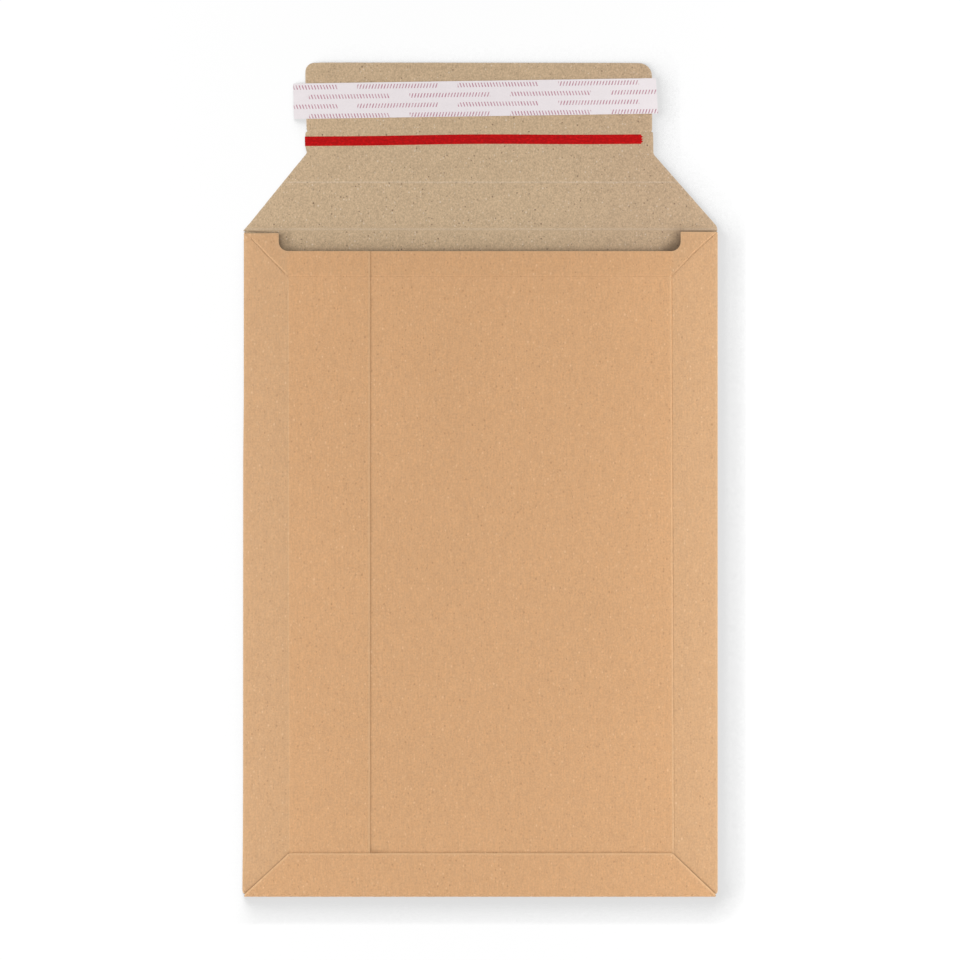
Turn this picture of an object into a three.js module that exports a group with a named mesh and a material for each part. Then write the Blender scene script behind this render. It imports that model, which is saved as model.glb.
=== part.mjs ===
// A solid-board mailing envelope with its closure flap open, lying on its plain back.
//
// One die-cut sheet makes the sleeve: a back panel, two side panels folded over the front and glued
// along a seam, and a bottom flap with mitred ends glued over both. Creases a band's width in from the
// edges let the front stand off the back, so the pocket takes a book or a stack of prints.
// The closure flap is the top of the same sheet. Its inner face carries a tear strip and a line of
// adhesive under a release liner.
//
// X runs across the envelope, Y from the bottom fold to the flap, Z up out of the back panel.
// Heights are measured from the surface that the back panel lies on.

import * as THREE from 'three';

// Driving dimensions, in millimetres
const BOARD = 0.6;
const GLUE = 0.15;
const CLEARANCE = 0.02;

const SLEEVE_WIDTH = 250;
const SLEEVE_LENGTH = 352;
const BAND = 23.65;
const POCKET_HEIGHT = 5;
const MOUTH_EDGE_DROP = 11.1;
const MOUTH_SAG = 0.56;
const MOUTH_RADIUS = 5;
const SHOULDER_DROP = 1.4;
const SEAM_X = -58.1;
const HIDDEN_EDGE_X = -80;

const SIDE_FOLD_INNER = 0.1;
const BOTTOM_FOLD_INNER = 0.85;
const SIDE_PANEL_FOOT = 1.8;
const CORNER_RELIEF = 1.8;
const STEP_END_X = -35;
const BEND_STEPS = 6;
const ARC_STEPS = 8;

const FLAP_LENGTH = 88.4;
const CREASE_GAP = 0.3;
const FLAP_BASE_HALF = 124.9;
const FLAP_LEFT = -92;
const FLAP_RIGHT = 90.7;
const NECK_Y = 42.3;
const NECK_RADIUS = 2;
const TEAR_TAB_TOP = 52.3;
const TEAR_TAB_OUT = 0.5;
const NICK_DEPTH = 0.6;
const NICK_HALF = 0.6;
const FLAP_RADIUS_LEFT = 4.5;
const FLAP_RADIUS_RIGHT = 7;
const BASE_CURVE = 5;

const TEAR_STRIP = { left: -92.2, right: 85, width: 5, thick: 0.08, y: 47.5, tilt: 0.39, teeth: 4, toothDepth: 1 };
const ADHESIVE = { x: -0.7, y: 69.35, length: 176, width: 12, thick: 0.12, tilt: 0.8 };
const LINER = { x: -2.5, y: 69.35, length: 192.2, width: 18.8, thick: 0.08, tilt: 0.8 };

const SIDE_GLUE = { left: -76, right: -66, bottom: 40, top: 318 };
const BOTTOM_GLUE = { bottom: 10, top: 20, left: [-95, -62], right: [-30, 95] };

// Heights of the front's layers above the surface
const RIGHT_FRONT = BOARD + POCKET_HEIGHT;
const LEFT_FRONT = RIGHT_FRONT + BOARD + GLUE;
const SIDE_FOOT = BOARD + 2 * SIDE_FOLD_INNER;
const LEFT_FOOT = SIDE_FOOT + BOARD + GLUE;
const FLAP_FOOT = BOARD + 2 * BOTTOM_FOLD_INNER;

// Where the bends and creases are
const SIDE_FOLD_OUTER = SIDE_FOLD_INNER + BOARD;
const BOTTOM_FOLD_OUTER = BOTTOM_FOLD_INNER + BOARD;
const FLAT_HALF = SLEEVE_WIDTH / 2 - SIDE_FOLD_OUTER;
const BOTTOM_HALF = SLEEVE_WIDTH / 2 - CORNER_RELIEF;
const CREASE_X = SLEEVE_WIDTH / 2 - BAND;
const CREASE_BOTTOM = BAND;
const CREASE_TOP = SLEEVE_LENGTH - SHOULDER_DROP - BAND;
const SHOULDER_Y = SLEEVE_LENGTH - SHOULDER_DROP;
const MOUTH_Y = SLEEVE_LENGTH - MOUTH_EDGE_DROP;
const SIDE_BEND = Math.PI * (SIDE_FOLD_INNER + BOARD / 2);
const BOTTOM_BEND = Math.PI * (BOTTOM_FOLD_INNER + BOARD / 2);

const KRAFT_BOARD = new THREE.MeshStandardMaterial({ color: 0xd4a67b, roughness: 0.85, metalness: 0 });
const GREY_BOARD = new THREE.MeshStandardMaterial({ color: 0xc0a789, roughness: 0.9, metalness: 0 });
const RED_FILM = new THREE.MeshStandardMaterial({ color: 0xc3141c, roughness: 0.35, metalness: 0 });
const LINER_PAPER = new THREE.MeshStandardMaterial({ color: 0xeeeaf0, roughness: 0.5, metalness: 0 });
const TACK = new THREE.MeshStandardMaterial({ color: 0xe6ddc4, roughness: 0.3, metalness: 0 });
const DRY_GLUE = new THREE.MeshStandardMaterial({ color: 0xe8e0cd, roughness: 0.6, metalness: 0 });

/** Height along a straight ramp from (a, low) to (b, high). */
function ramp(at, a, low, b, high) {
  return low + (high - low) * (at - a) / (b - a);
}

/** Underside of a front panel: a flat middle with a band that slopes down along each edge. */
function frontUnder(x, y, middle, foot) {
  const across = Math.abs(x);
  const side = ramp(across, CREASE_X, middle, FLAT_HALF, SIDE_FOOT);
  const bottomFoot = across > CREASE_X ? ramp(across, CREASE_X, foot, FLAT_HALF, SIDE_FOOT) : foot;
  const bottom = ramp(y, SIDE_PANEL_FOOT, bottomFoot, CREASE_BOTTOM, middle);
  if (y <= CREASE_TOP || across >= FLAT_HALF) return Math.min(middle, side, bottom);
  const sag = MOUTH_SAG * (y - CREASE_TOP) / (MOUTH_Y - CREASE_TOP);
  const fall = (middle - SIDE_FOOT - MOUTH_SAG * BAND / (MOUTH_Y - CREASE_TOP)) / (FLAT_HALF - CREASE_X);
  return middle - sag - fall * Math.max(0, across - CREASE_X);
}

function rightUnder(x, y) {
  return frontUnder(x, y, RIGHT_FRONT, SIDE_FOOT);
}

function leftUnder(x, y) {
  return frontUnder(x, y, LEFT_FRONT, LEFT_FOOT);
}

/** Underside of the bottom flap, which steps down from the left panel to the right one past the seam. */
function bottomFlapUnder(x, y) {
  const onLeft = LEFT_FRONT + BOARD + GLUE;
  const onRight = RIGHT_FRONT + BOARD + GLUE;
  const share = THREE.MathUtils.clamp((x - SEAM_X - 1) / (STEP_END_X - SEAM_X - 1), 0, 1);
  const top = onLeft + (onRight - onLeft) * share;
  return ramp(y, BOTTOM_FOLD_OUTER, FLAP_FOOT, CREASE_BOTTOM, top);
}

// The sheet is drawn flat, as it is cut: u across and v along, seen on its inner face. A point of the
// flat sheet folds to a pair of points, one on its outer skin and one on its inner skin.

/** The flat sheet's u where it comes to lie at x on the right or left side panel. */
function panelU(side, x) {
  return side * (2 * FLAT_HALF + SIDE_BEND - side * x);
}

function foldSide(u, v) {
  const side = Math.sign(u);
  const past = Math.abs(u) - FLAT_HALF;
  if (past <= SIDE_BEND + 1e-9) {
    const angle = Math.PI * (past / SIDE_BEND - 0.5);
    const at = (r) => new THREE.Vector3(
      side * (FLAT_HALF + r * Math.cos(angle)), v, SIDE_FOLD_OUTER + r * Math.sin(angle));
    return { outer: at(SIDE_FOLD_OUTER), inner: at(SIDE_FOLD_INNER) };
  }
  const x = side * (FLAT_HALF + SIDE_BEND - past);
  const under = side > 0 ? rightUnder(x, v) : leftUnder(x, v);
  return { outer: new THREE.Vector3(x, v, under + BOARD), inner: new THREE.Vector3(x, v, under) };
}

function foldBottom(u, v) {
  const past = BOTTOM_FOLD_OUTER - v;
  if (past <= BOTTOM_BEND + 1e-9) {
    const angle = Math.PI * (past / BOTTOM_BEND - 0.5);
    const at = (r) => new THREE.Vector3(
      u, BOTTOM_FOLD_OUTER - r * Math.cos(angle), BOTTOM_FOLD_OUTER + r * Math.sin(angle));
    return { outer: at(BOTTOM_FOLD_OUTER), inner: at(BOTTOM_FOLD_INNER) };
  }
  const y = BOTTOM_FOLD_OUTER + past - BOTTOM_BEND;
  const under = bottomFlapUnder(u, y);
  return { outer: new THREE.Vector3(u, y, under + BOARD), inner: new THREE.Vector3(u, y, under) };
}

function fold(u, v) {
  if (v < BOTTOM_FOLD_OUTER) return foldBottom(u, v);
  if (Math.abs(u) > FLAT_HALF) return foldSide(u, v);
  return { outer: new THREE.Vector3(u, v, 0), inner: new THREE.Vector3(u, v, BOARD) };
}

/** The facets of one side panel and its bend, as outlines on the flat sheet. */
function sidePanelFacets(side, freeEdge) {
  const facets = [];
  for (let i = 0; i < BEND_STEPS; i += 1) {
    const near = side * (FLAT_HALF + SIDE_BEND * i / BEND_STEPS);
    const far = side * (FLAT_HALF + SIDE_BEND * (i + 1) / BEND_STEPS);
    facets.push([[near, SIDE_PANEL_FOOT], [far, SIDE_PANEL_FOOT], [far, SHOULDER_Y], [near, SHOULDER_Y]]);
  }
  const onPanel = (points) => points.map(([x, y]) => [panelU(side, side * x), y]);
  const crease = CREASE_X;
  const edge = side * freeEdge;
  const mouthCorner = [];
  for (let i = 0; i <= ARC_STEPS; i += 1) {
    const angle = Math.PI / 2 * i / ARC_STEPS;
    mouthCorner.push([
      crease + MOUTH_RADIUS * Math.sin(angle),
      MOUTH_Y + MOUTH_RADIUS * (1 - Math.cos(angle)),
    ]);
  }
  facets.push(
    onPanel([[crease, CREASE_BOTTOM], [FLAT_HALF, SIDE_PANEL_FOOT], [FLAT_HALF, SHOULDER_Y], [crease, CREASE_TOP]]),
    onPanel([[crease, CREASE_BOTTOM], [crease, SIDE_PANEL_FOOT], [FLAT_HALF, SIDE_PANEL_FOOT]]),
    onPanel([[edge, SIDE_PANEL_FOOT], [crease, SIDE_PANEL_FOOT], [crease, CREASE_BOTTOM], [edge, CREASE_BOTTOM]]),
    onPanel([[edge, CREASE_BOTTOM], [crease, CREASE_BOTTOM], [crease, CREASE_TOP], [edge, CREASE_TOP]]),
    onPanel([[edge, CREASE_TOP], [crease, CREASE_TOP], [crease, MOUTH_Y], [edge, MOUTH_Y]]),
    onPanel([[crease, CREASE_TOP], [FLAT_HALF, SHOULDER_Y], [crease + MOUTH_RADIUS, SHOULDER_Y],
      ...mouthCorner.toReversed()]),
  );
  return facets;
}

/** The facets of the bottom flap and its bend: a column on each layer below it and one over the step. */
function bottomFlapFacets() {
  const facets = [];
  const columns = [-BOTTOM_HALF, SEAM_X + 1, STEP_END_X, BOTTOM_HALF];
  const bendEnd = BOTTOM_FOLD_OUTER - BOTTOM_BEND;
  const freeEdge = bendEnd - (CREASE_BOTTOM - BOTTOM_FOLD_OUTER);
  for (let c = 0; c + 1 < columns.length; c += 1) {
    const [left, right] = [columns[c], columns[c + 1]];
    for (let i = 0; i < BEND_STEPS; i += 1) {
      const near = BOTTOM_FOLD_OUTER - BOTTOM_BEND * i / BEND_STEPS;
      const far = BOTTOM_FOLD_OUTER - BOTTOM_BEND * (i + 1) / BEND_STEPS;
      facets.push([[left, near], [right, near], [right, far], [left, far]]);
    }
    const mitred = (x) => THREE.MathUtils.clamp(x, -CREASE_X, CREASE_X);
    facets.push([[left, bendEnd], [right, bendEnd], [mitred(right), freeEdge], [mitred(left), freeEdge]]);
  }
  return facets;
}

function backFacet() {
  const top = SLEEVE_LENGTH - CREASE_GAP / 2;
  return [
    [-BOTTOM_HALF, BOTTOM_FOLD_OUTER], [BOTTOM_HALF, BOTTOM_FOLD_OUTER], [BOTTOM_HALF, SIDE_PANEL_FOOT],
    [FLAT_HALF, SIDE_PANEL_FOOT], [FLAT_HALF, top], [-FLAT_HALF, top],
    [-FLAT_HALF, SIDE_PANEL_FOOT], [-BOTTOM_HALF, SIDE_PANEL_FOOT],
  ];
}

/** True if point p lies inside the edge from a to b, and not at its ends. */
function onEdge(p, a, b) {
  const along = b.clone().sub(a);
  const from = p.clone().sub(a);
  const share = from.dot(along) / along.lengthSq();
  return share > 1e-6 && share < 1 - 1e-6 && Math.abs(along.cross(from)) < 1e-6 * along.length();
}

/** Cuts a triangle until no point of the sheet lies inside one of its edges. */
function splitTriangle(triangle, points) {
  for (let k = 0; k < 3; k += 1) {
    const [a, b, c] = [triangle[k], triangle[(k + 1) % 3], triangle[(k + 2) % 3]];
    const middle = points.findIndex((p) => onEdge(p, points[a], points[b]));
    if (middle >= 0) {
      return [...splitTriangle([a, middle, c], points), ...splitTriangle([middle, b, c], points)];
    }
  }
  return [triangle];
}

/** The closed solid of a sheet whose facets are given on the flat and whose skins fold() places. */
function foldedSheet(facets) {
  const points = [];
  const numbers = new Map();
  const numberOf = ([u, v]) => {
    const key = `${u.toFixed(6)},${v.toFixed(6)}`;
    if (!numbers.has(key)) {
      numbers.set(key, points.length);
      points.push(new THREE.Vector2(u, v));
    }
    return numbers.get(key);
  };
  const outlines = facets.map((facet) => facet.map(numberOf));
  const triangles = [];
  for (const outline of outlines) {
    const contour = outline.map((n) => points[n]);
    for (const [i, j, k] of THREE.ShapeUtils.triangulateShape(contour, [])) {
      const corners = [outline[i], outline[j], outline[k]];
      const turnsLeft = THREE.ShapeUtils.area(corners.map((n) => points[n])) > 0;
      triangles.push(...splitTriangle(turnsLeft ? corners : corners.reverse(), points));
    }
  }

  const outer = (n) => 2 * n;
  const inner = (n) => 2 * n + 1;
  const edges = new Set(triangles.flatMap(([a, b, c]) => [`${a},${b}`, `${b},${c}`, `${c},${a}`]));
  const index = [];
  for (const [a, b, c] of triangles) {
    index.push(inner(a), inner(b), inner(c), outer(c), outer(b), outer(a));
  }
  for (const edge of edges) {
    const [a, b] = edge.split(',').map(Number);
    if (edges.has(`${b},${a}`)) continue;
    index.push(inner(b), inner(a), outer(a), inner(b), outer(a), outer(b));
  }
  const skins = points.flatMap((p) => {
    const pair = fold(p.x, p.y);
    return [pair.outer, pair.inner];
  });
  const geometry = new THREE.BufferGeometry().setFromPoints(skins);
  geometry.setIndex(index);
  geometry.computeVertexNormals();
  return geometry;
}

function sleeveGeometry() {
  return foldedSheet([
    backFacet(),
    ...sidePanelFacets(1, HIDDEN_EDGE_X),
    ...sidePanelFacets(-1, SEAM_X),
    ...bottomFlapFacets(),
  ]);
}

/** The closure flap: a wide base, slanted sides, a tear tab between two nicks and a rounded tab. */
function flapGeometry() {
  const base = SLEEVE_LENGTH + CREASE_GAP / 2;
  const at = (y) => SLEEVE_LENGTH + y;
  const slope = (NECK_Y - BASE_CURVE) / (FLAP_BASE_HALF - FLAP_RIGHT);
  const curveX = FLAP_BASE_HALF - BASE_CURVE / 2 / slope;
  const shape = new THREE.Shape();
  shape.moveTo(-FLAP_BASE_HALF, base);
  shape.lineTo(FLAP_BASE_HALF, base);
  shape.quadraticCurveTo(FLAP_BASE_HALF, at(BASE_CURVE / 2), curveX, at(BASE_CURVE));
  shape.lineTo(FLAP_RIGHT + NECK_RADIUS / slope, at(NECK_Y - NECK_RADIUS));
  shape.quadraticCurveTo(FLAP_RIGHT, at(NECK_Y), FLAP_RIGHT + TEAR_TAB_OUT, at(NECK_Y + NECK_RADIUS));
  shape.lineTo(FLAP_RIGHT + TEAR_TAB_OUT, at(TEAR_TAB_TOP - NICK_HALF));
  shape.lineTo(FLAP_RIGHT - NICK_DEPTH, at(TEAR_TAB_TOP));
  shape.lineTo(FLAP_RIGHT, at(TEAR_TAB_TOP + NICK_HALF));
  shape.lineTo(FLAP_RIGHT, at(FLAP_LENGTH - FLAP_RADIUS_RIGHT));
  shape.quadraticCurveTo(FLAP_RIGHT, at(FLAP_LENGTH), FLAP_RIGHT - FLAP_RADIUS_RIGHT, at(FLAP_LENGTH));
  shape.lineTo(FLAP_LEFT + FLAP_RADIUS_LEFT, at(FLAP_LENGTH));
  shape.quadraticCurveTo(FLAP_LEFT, at(FLAP_LENGTH), FLAP_LEFT, at(FLAP_LENGTH - FLAP_RADIUS_LEFT));
  shape.lineTo(FLAP_LEFT, at(TEAR_TAB_TOP + NICK_HALF));
  shape.lineTo(FLAP_LEFT + NICK_DEPTH, at(TEAR_TAB_TOP));
  shape.lineTo(FLAP_LEFT - TEAR_TAB_OUT, at(TEAR_TAB_TOP - NICK_HALF));
  shape.lineTo(FLAP_LEFT - TEAR_TAB_OUT, at(NECK_Y + NECK_RADIUS));
  shape.quadraticCurveTo(FLAP_LEFT, at(NECK_Y), FLAP_LEFT - NECK_RADIUS / slope, at(NECK_Y - NECK_RADIUS));
  shape.closePath();
  return new THREE.ExtrudeGeometry(shape, { depth: BOARD, bevelEnabled: false, curveSegments: 6 });
}

/** The tear strip: a narrow tape whose right end is cut to a row of teeth. */
function tearStripGeometry() {
  const { left, right, width, thick, teeth, toothDepth } = TEAR_STRIP;
  const shape = new THREE.Shape();
  shape.moveTo(left, -width / 2);
  for (let i = 0; i < teeth; i += 1) {
    shape.lineTo(right - toothDepth, -width / 2 + width * i / teeth);
    shape.lineTo(right, -width / 2 + width * (i + 0.5) / teeth);
  }
  shape.lineTo(right - toothDepth, width / 2);
  shape.lineTo(left, width / 2);
  shape.closePath();
  return new THREE.ExtrudeGeometry(shape, { depth: thick, bevelEnabled: false });
}

/** A thin layer over a plan rectangle, between an underside and an upper side that follow the board. */
function layerGeometry(left, right, bottom, top, under, over) {
  const geometry = new THREE.BoxGeometry(right - left, top - bottom, 1);
  geometry.translate((left + right) / 2, (bottom + top) / 2, 0.5);
  const position = geometry.attributes.position;
  for (let i = 0; i < position.count; i += 1) {
    const [x, y, z] = [position.getX(i), position.getY(i), position.getZ(i)];
    position.setZ(i, z > 0.5 ? over(x, y) - CLEARANCE : under(x, y) + CLEARANCE);
  }
  geometry.computeVertexNormals();
  return geometry;
}

function namedMesh(name, geometry, material) {
  const mesh = new THREE.Mesh(geometry, material);
  mesh.name = name;
  return mesh;
}

/** Lays a thin strip on the flap's inner face, tilted a little as it was applied. */
function layOnFlap(mesh, x, y, height, tilt) {
  mesh.position.set(x, SLEEVE_LENGTH + y, height);
  mesh.rotation.z = THREE.MathUtils.degToRad(tilt);
  return mesh;
}

function flapTrim() {
  const onBoard = BOARD + CLEARANCE;
  const onAdhesive = onBoard + ADHESIVE.thick + CLEARANCE;
  const adhesive = new THREE.BoxGeometry(ADHESIVE.length, ADHESIVE.width, ADHESIVE.thick);
  const liner = new THREE.BoxGeometry(LINER.length, LINER.width, LINER.thick);
  return [
    layOnFlap(namedMesh('tear_strip', tearStripGeometry(), RED_FILM), 0, TEAR_STRIP.y, onBoard, TEAR_STRIP.tilt),
    layOnFlap(namedMesh('closure_adhesive', adhesive, TACK),
      ADHESIVE.x, ADHESIVE.y, onBoard + ADHESIVE.thick / 2, ADHESIVE.tilt),
    layOnFlap(namedMesh('release_liner', liner, LINER_PAPER),
      LINER.x, LINER.y, onAdhesive + LINER.thick / 2, LINER.tilt),
  ];
}

/** The dried glue: one line down the seam's overlap and two under the bottom flap. */
function glueLines() {
  const { left, right, bottom, top } = SIDE_GLUE;
  const rightOver = (x, y) => rightUnder(x, y) + BOARD;
  const leftOver = (x, y) => leftUnder(x, y) + BOARD;
  const underFlap = (name, [from, to], under) => namedMesh(
    name, layerGeometry(from, to, BOTTOM_GLUE.bottom, BOTTOM_GLUE.top, under, bottomFlapUnder), DRY_GLUE);
  return [
    namedMesh('side_seam_glue', layerGeometry(left, right, bottom, top, rightOver, leftUnder), DRY_GLUE),
    underFlap('bottom_glue_left', BOTTOM_GLUE.left, leftOver),
    underFlap('bottom_glue_right', BOTTOM_GLUE.right, rightOver),
  ];
}

const envelope = new THREE.Group();
envelope.add(
  namedMesh('folded_sleeve', sleeveGeometry(), KRAFT_BOARD),
  namedMesh('closure_flap', flapGeometry(), GREY_BOARD),
  ...flapTrim(),
  ...glueLines(),
);
envelope.position.y = -(SLEEVE_LENGTH + FLAP_LENGTH) / 2;

export default envelope;
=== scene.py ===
"""A solid-board mailing envelope, lying open on its plain back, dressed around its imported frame.

The board is one die-cut sheet: it is drawn flat, cut into triangles, and folded into the sleeve and
the closure flap. Lengths inside the classes are millimetres, measured across from the middle and up
from the bottom fold; the meshes are written in metres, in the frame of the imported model.
"""

import logging
import math
from collections.abc import Callable, Mapping, Sequence
from dataclasses import dataclass, field
from enum import Enum
from functools import cached_property

import bpy
import numpy as np
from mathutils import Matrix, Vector
from mathutils.geometry import delaunay_2d_cdt


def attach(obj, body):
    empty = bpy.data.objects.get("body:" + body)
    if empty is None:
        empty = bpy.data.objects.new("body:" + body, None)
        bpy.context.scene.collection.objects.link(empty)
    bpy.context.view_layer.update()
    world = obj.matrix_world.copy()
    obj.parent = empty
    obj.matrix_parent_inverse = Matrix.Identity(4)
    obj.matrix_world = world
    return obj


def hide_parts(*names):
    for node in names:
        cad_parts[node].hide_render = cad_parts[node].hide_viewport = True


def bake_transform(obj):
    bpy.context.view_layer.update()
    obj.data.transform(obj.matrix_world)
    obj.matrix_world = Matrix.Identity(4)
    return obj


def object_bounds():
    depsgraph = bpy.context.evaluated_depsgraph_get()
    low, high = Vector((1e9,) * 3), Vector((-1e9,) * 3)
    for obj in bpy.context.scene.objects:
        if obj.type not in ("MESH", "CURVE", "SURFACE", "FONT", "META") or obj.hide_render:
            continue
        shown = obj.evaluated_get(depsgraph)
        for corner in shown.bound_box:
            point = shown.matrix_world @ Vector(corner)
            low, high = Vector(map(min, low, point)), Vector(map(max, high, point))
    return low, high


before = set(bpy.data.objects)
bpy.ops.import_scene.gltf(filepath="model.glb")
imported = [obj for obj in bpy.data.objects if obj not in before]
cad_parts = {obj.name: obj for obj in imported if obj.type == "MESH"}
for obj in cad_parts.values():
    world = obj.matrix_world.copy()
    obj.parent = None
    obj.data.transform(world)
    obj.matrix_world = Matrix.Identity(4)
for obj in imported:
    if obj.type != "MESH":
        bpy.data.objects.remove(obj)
cad_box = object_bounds()

LOG = logging.getLogger("envelope")
MM = 0.001
TINY = 1e-12
FOLD_BELOW_ORIGIN = -cad_box[0].y / MM
SEED_SHIFTS = (1.0, 0.37, 1.7)

Points = np.ndarray
Pair = tuple[float, float]
Triple = tuple[float, float, float]
Colour = tuple[float, float, float]
Line = tuple[float, float, float, float]
Skins = tuple[np.ndarray, np.ndarray]
Link = "Shade | float | Sequence[float]"


class Skin(Enum):
    """The faces of a sheet, in the order of its material slots."""

    OUTER = 0
    INNER = 1
    CUT = 2


class Blend(Enum):
    """How a mixed colour is laid over another."""

    PLAIN = "MIX"
    MULTIPLY = "MULTIPLY"


# Small geometry helpers


def smooth(share: np.ndarray) -> np.ndarray:
    """Eases a share from 0 to 1, flat at both ends."""
    held = np.clip(share, 0.0, 1.0)
    return held * held * (3.0 - 2.0 * held)


def soft_min(a: np.ndarray, b: np.ndarray, blend: float) -> np.ndarray:
    """The smaller of two heights, rounded where they differ by less than the blend."""
    share = np.clip(0.5 + 0.5 * (b - a) / blend, 0.0, 1.0)
    return b + (a - b) * share - blend * share * (1.0 - share)


def ramp(at: np.ndarray, start: float, low: np.ndarray, end: float, high: np.ndarray) -> np.ndarray:
    """Height along a straight slope, which is low at the start and high at the end."""
    return low + (high - low) * (at - start) / (end - start)


def segment_distance(points: Points, segments: np.ndarray) -> np.ndarray:
    """Distance from each point to each of several segments.

    Args:
        points: Points, one row each.
        segments: Segments, as rows of x, y of one end and x, y of the other.

    Returns:
        A table with a row for each point and a column for each segment.
    """
    start, end = segments[:, :2], segments[:, 2:]
    along = end - start
    length = np.maximum((along**2).sum(1), TINY)
    from_start = points[:, None, :] - start[None]
    share = np.clip((from_start * along[None]).sum(2) / length[None], 0.0, 1.0)
    nearest = start[None] + along[None] * share[..., None]
    return np.hypot(*np.moveaxis(points[:, None, :] - nearest, 2, 0))


def nearest_distance(points: Points, segments: np.ndarray, chunk: int = 2000) -> np.ndarray:
    """Distance from each point to the nearest of several segments, a chunk of points at a time."""
    parts = [points[i : i + chunk] for i in range(0, len(points), chunk)]
    return np.concatenate([segment_distance(part, segments).min(1) for part in parts])


def inside(points: Points, outline: Points) -> np.ndarray:
    """Tells which points lie inside a closed outline.

    Args:
        points: Points, one row each.
        outline: The outline's corners in order.

    Returns:
        True for each point that lies inside.
    """
    x, y = points[:, 0], points[:, 1]
    found = np.zeros(len(points), bool)
    for (ax, ay), (bx, by) in zip(outline, np.roll(outline, -1, axis=0)):
        if ay != by:
            crosses = (ay > y) != (by > y)
            found ^= crosses & (x < (bx - ax) * (y - ay) / (by - ay) + ax)
    return found


def resample(corners: Points, spacing: float) -> Points:
    """Walks a closed outline and puts points along it, keeping every corner.

    Args:
        corners: The outline's corners in order.
        spacing: Greatest distance between points.

    Returns:
        The finer outline.
    """
    rows = []
    for here, there in zip(corners, np.roll(corners, -1, axis=0)):
        count = max(1, math.ceil(np.hypot(*(there - here)) / spacing))
        rows.append(here + (there - here) * (np.arange(count) / count)[:, None])
    return np.concatenate(rows)


def rounded(corners: Sequence[Triple], steps: int = 6) -> Points:
    """Rounds the corners of a closed outline with circular arcs.

    Args:
        corners: Each corner's x and y, and how far along its two edges the arc reaches.
        steps: How many steps each arc takes.

    Returns:
        The outline's points.
    """
    places = np.array([c[:2] for c in corners], float)
    share = np.linspace(0.0, 1.0, steps + 1)[:, None]
    rows = []
    for i, (x, y, reach) in enumerate(corners):
        if reach <= 0.0:
            rows.append(np.array([[x, y]]))
            continue
        here = places[i]
        before = places[i - 1] - here
        after = places[(i + 1) % len(places)] - here
        before /= np.hypot(*before)
        after /= np.hypot(*after)
        weight = math.sqrt(max(0.0, (1.0 - float(before @ after)) / 2.0))
        pull = 2.0 * share * (1.0 - share) * weight
        ends = (here + before * reach) * (1.0 - share) ** 2 + (here + after * reach) * share**2
        rows.append((ends + here * pull) / ((1.0 - share) ** 2 + pull + share**2))
    return np.concatenate(rows)


def inward_offset(outline: Points, distance: float) -> Points:
    """Points beside each point of an anticlockwise outline, on its inner side.

    Args:
        outline: The outline's points in order.
        distance: How far in they lie.

    Returns:
        One point for each point of the outline.
    """
    along = np.roll(outline, -1, axis=0) - np.roll(outline, 1, axis=0)
    along /= np.maximum(np.hypot(along[:, 0], along[:, 1]), TINY)[:, None]
    return outline + np.stack([-along[:, 1], along[:, 0]], 1) * distance


def lattice(line: Line, offsets: Sequence[float], spacing: float) -> Points:
    """Rows of points along a straight line.

    Args:
        line: x and y of the line's ends.
        offsets: How far each row lies to the left of the line.
        spacing: Distance between points along a row.

    Returns:
        The points.
    """
    start, end = np.array(line[:2]), np.array(line[2:])
    length = float(np.hypot(*(end - start)))
    share = np.linspace(0.0, 1.0, max(1, round(length / spacing)) + 1)[:, None]
    left = np.array([start[1] - end[1], end[0] - start[0]]) / length
    return np.concatenate([start + (end - start) * share + left * offset for offset in offsets])


def turned(flat: Points, degrees: float, centre: Pair) -> Skins:
    """Turns flat points about the middle and moves them.

    Args:
        flat: The points.
        degrees: How far they are turned.
        centre: Where the middle goes.

    Returns:
        The x and the y of every point.
    """
    turn = math.radians(degrees)
    x = flat[:, 0] * math.cos(turn) - flat[:, 1] * math.sin(turn) + centre[0]
    y = flat[:, 0] * math.sin(turn) + flat[:, 1] * math.cos(turn) + centre[1]
    return x, y


@dataclass(frozen=True)
class Ripple:
    """A gentle seeded unevenness: a sum of long waves in all directions.

    Args:
        height: About how far it departs from flat.
        shortest: Shortest wave length.
        longest: Longest wave length.
        count: How many waves are added.
        seed: Seed of its random draws.
    """

    height: float
    shortest: float
    longest: float
    count: int
    seed: int

    def at(self, x: np.ndarray, y: np.ndarray) -> np.ndarray:
        """Height of the unevenness.

        Args:
            x: Places across.
            y: Places along.

        Returns:
            The height at each place.
        """
        draw = np.random.default_rng(self.seed)
        total = np.zeros_like(x)
        for _ in range(self.count):
            wave = draw.uniform(self.shortest, self.longest)
            turn, phase = draw.uniform(0.0, math.tau, 2)
            across = (x * math.cos(turn) + y * math.sin(turn)) / wave
            total += np.sin(math.tau * across + phase)
        return total * self.height / math.sqrt(self.count)


@dataclass(frozen=True)
class Rows:
    """Rows of points beside a line.

    Args:
        first: How many units to the left of the line the first row lies.
        last: How many units to its left the last row lies.
        count: How many rows there are.
        spacing: Distance between points along a row.
    """

    first: float
    last: float
    count: int
    spacing: float

    def beside(self, line: Line, unit: float) -> Points:
        """The points beside a line, for a unit's length."""
        return lattice(line, np.linspace(self.first, self.last, self.count) * unit, self.spacing)


# Shader maths


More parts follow.
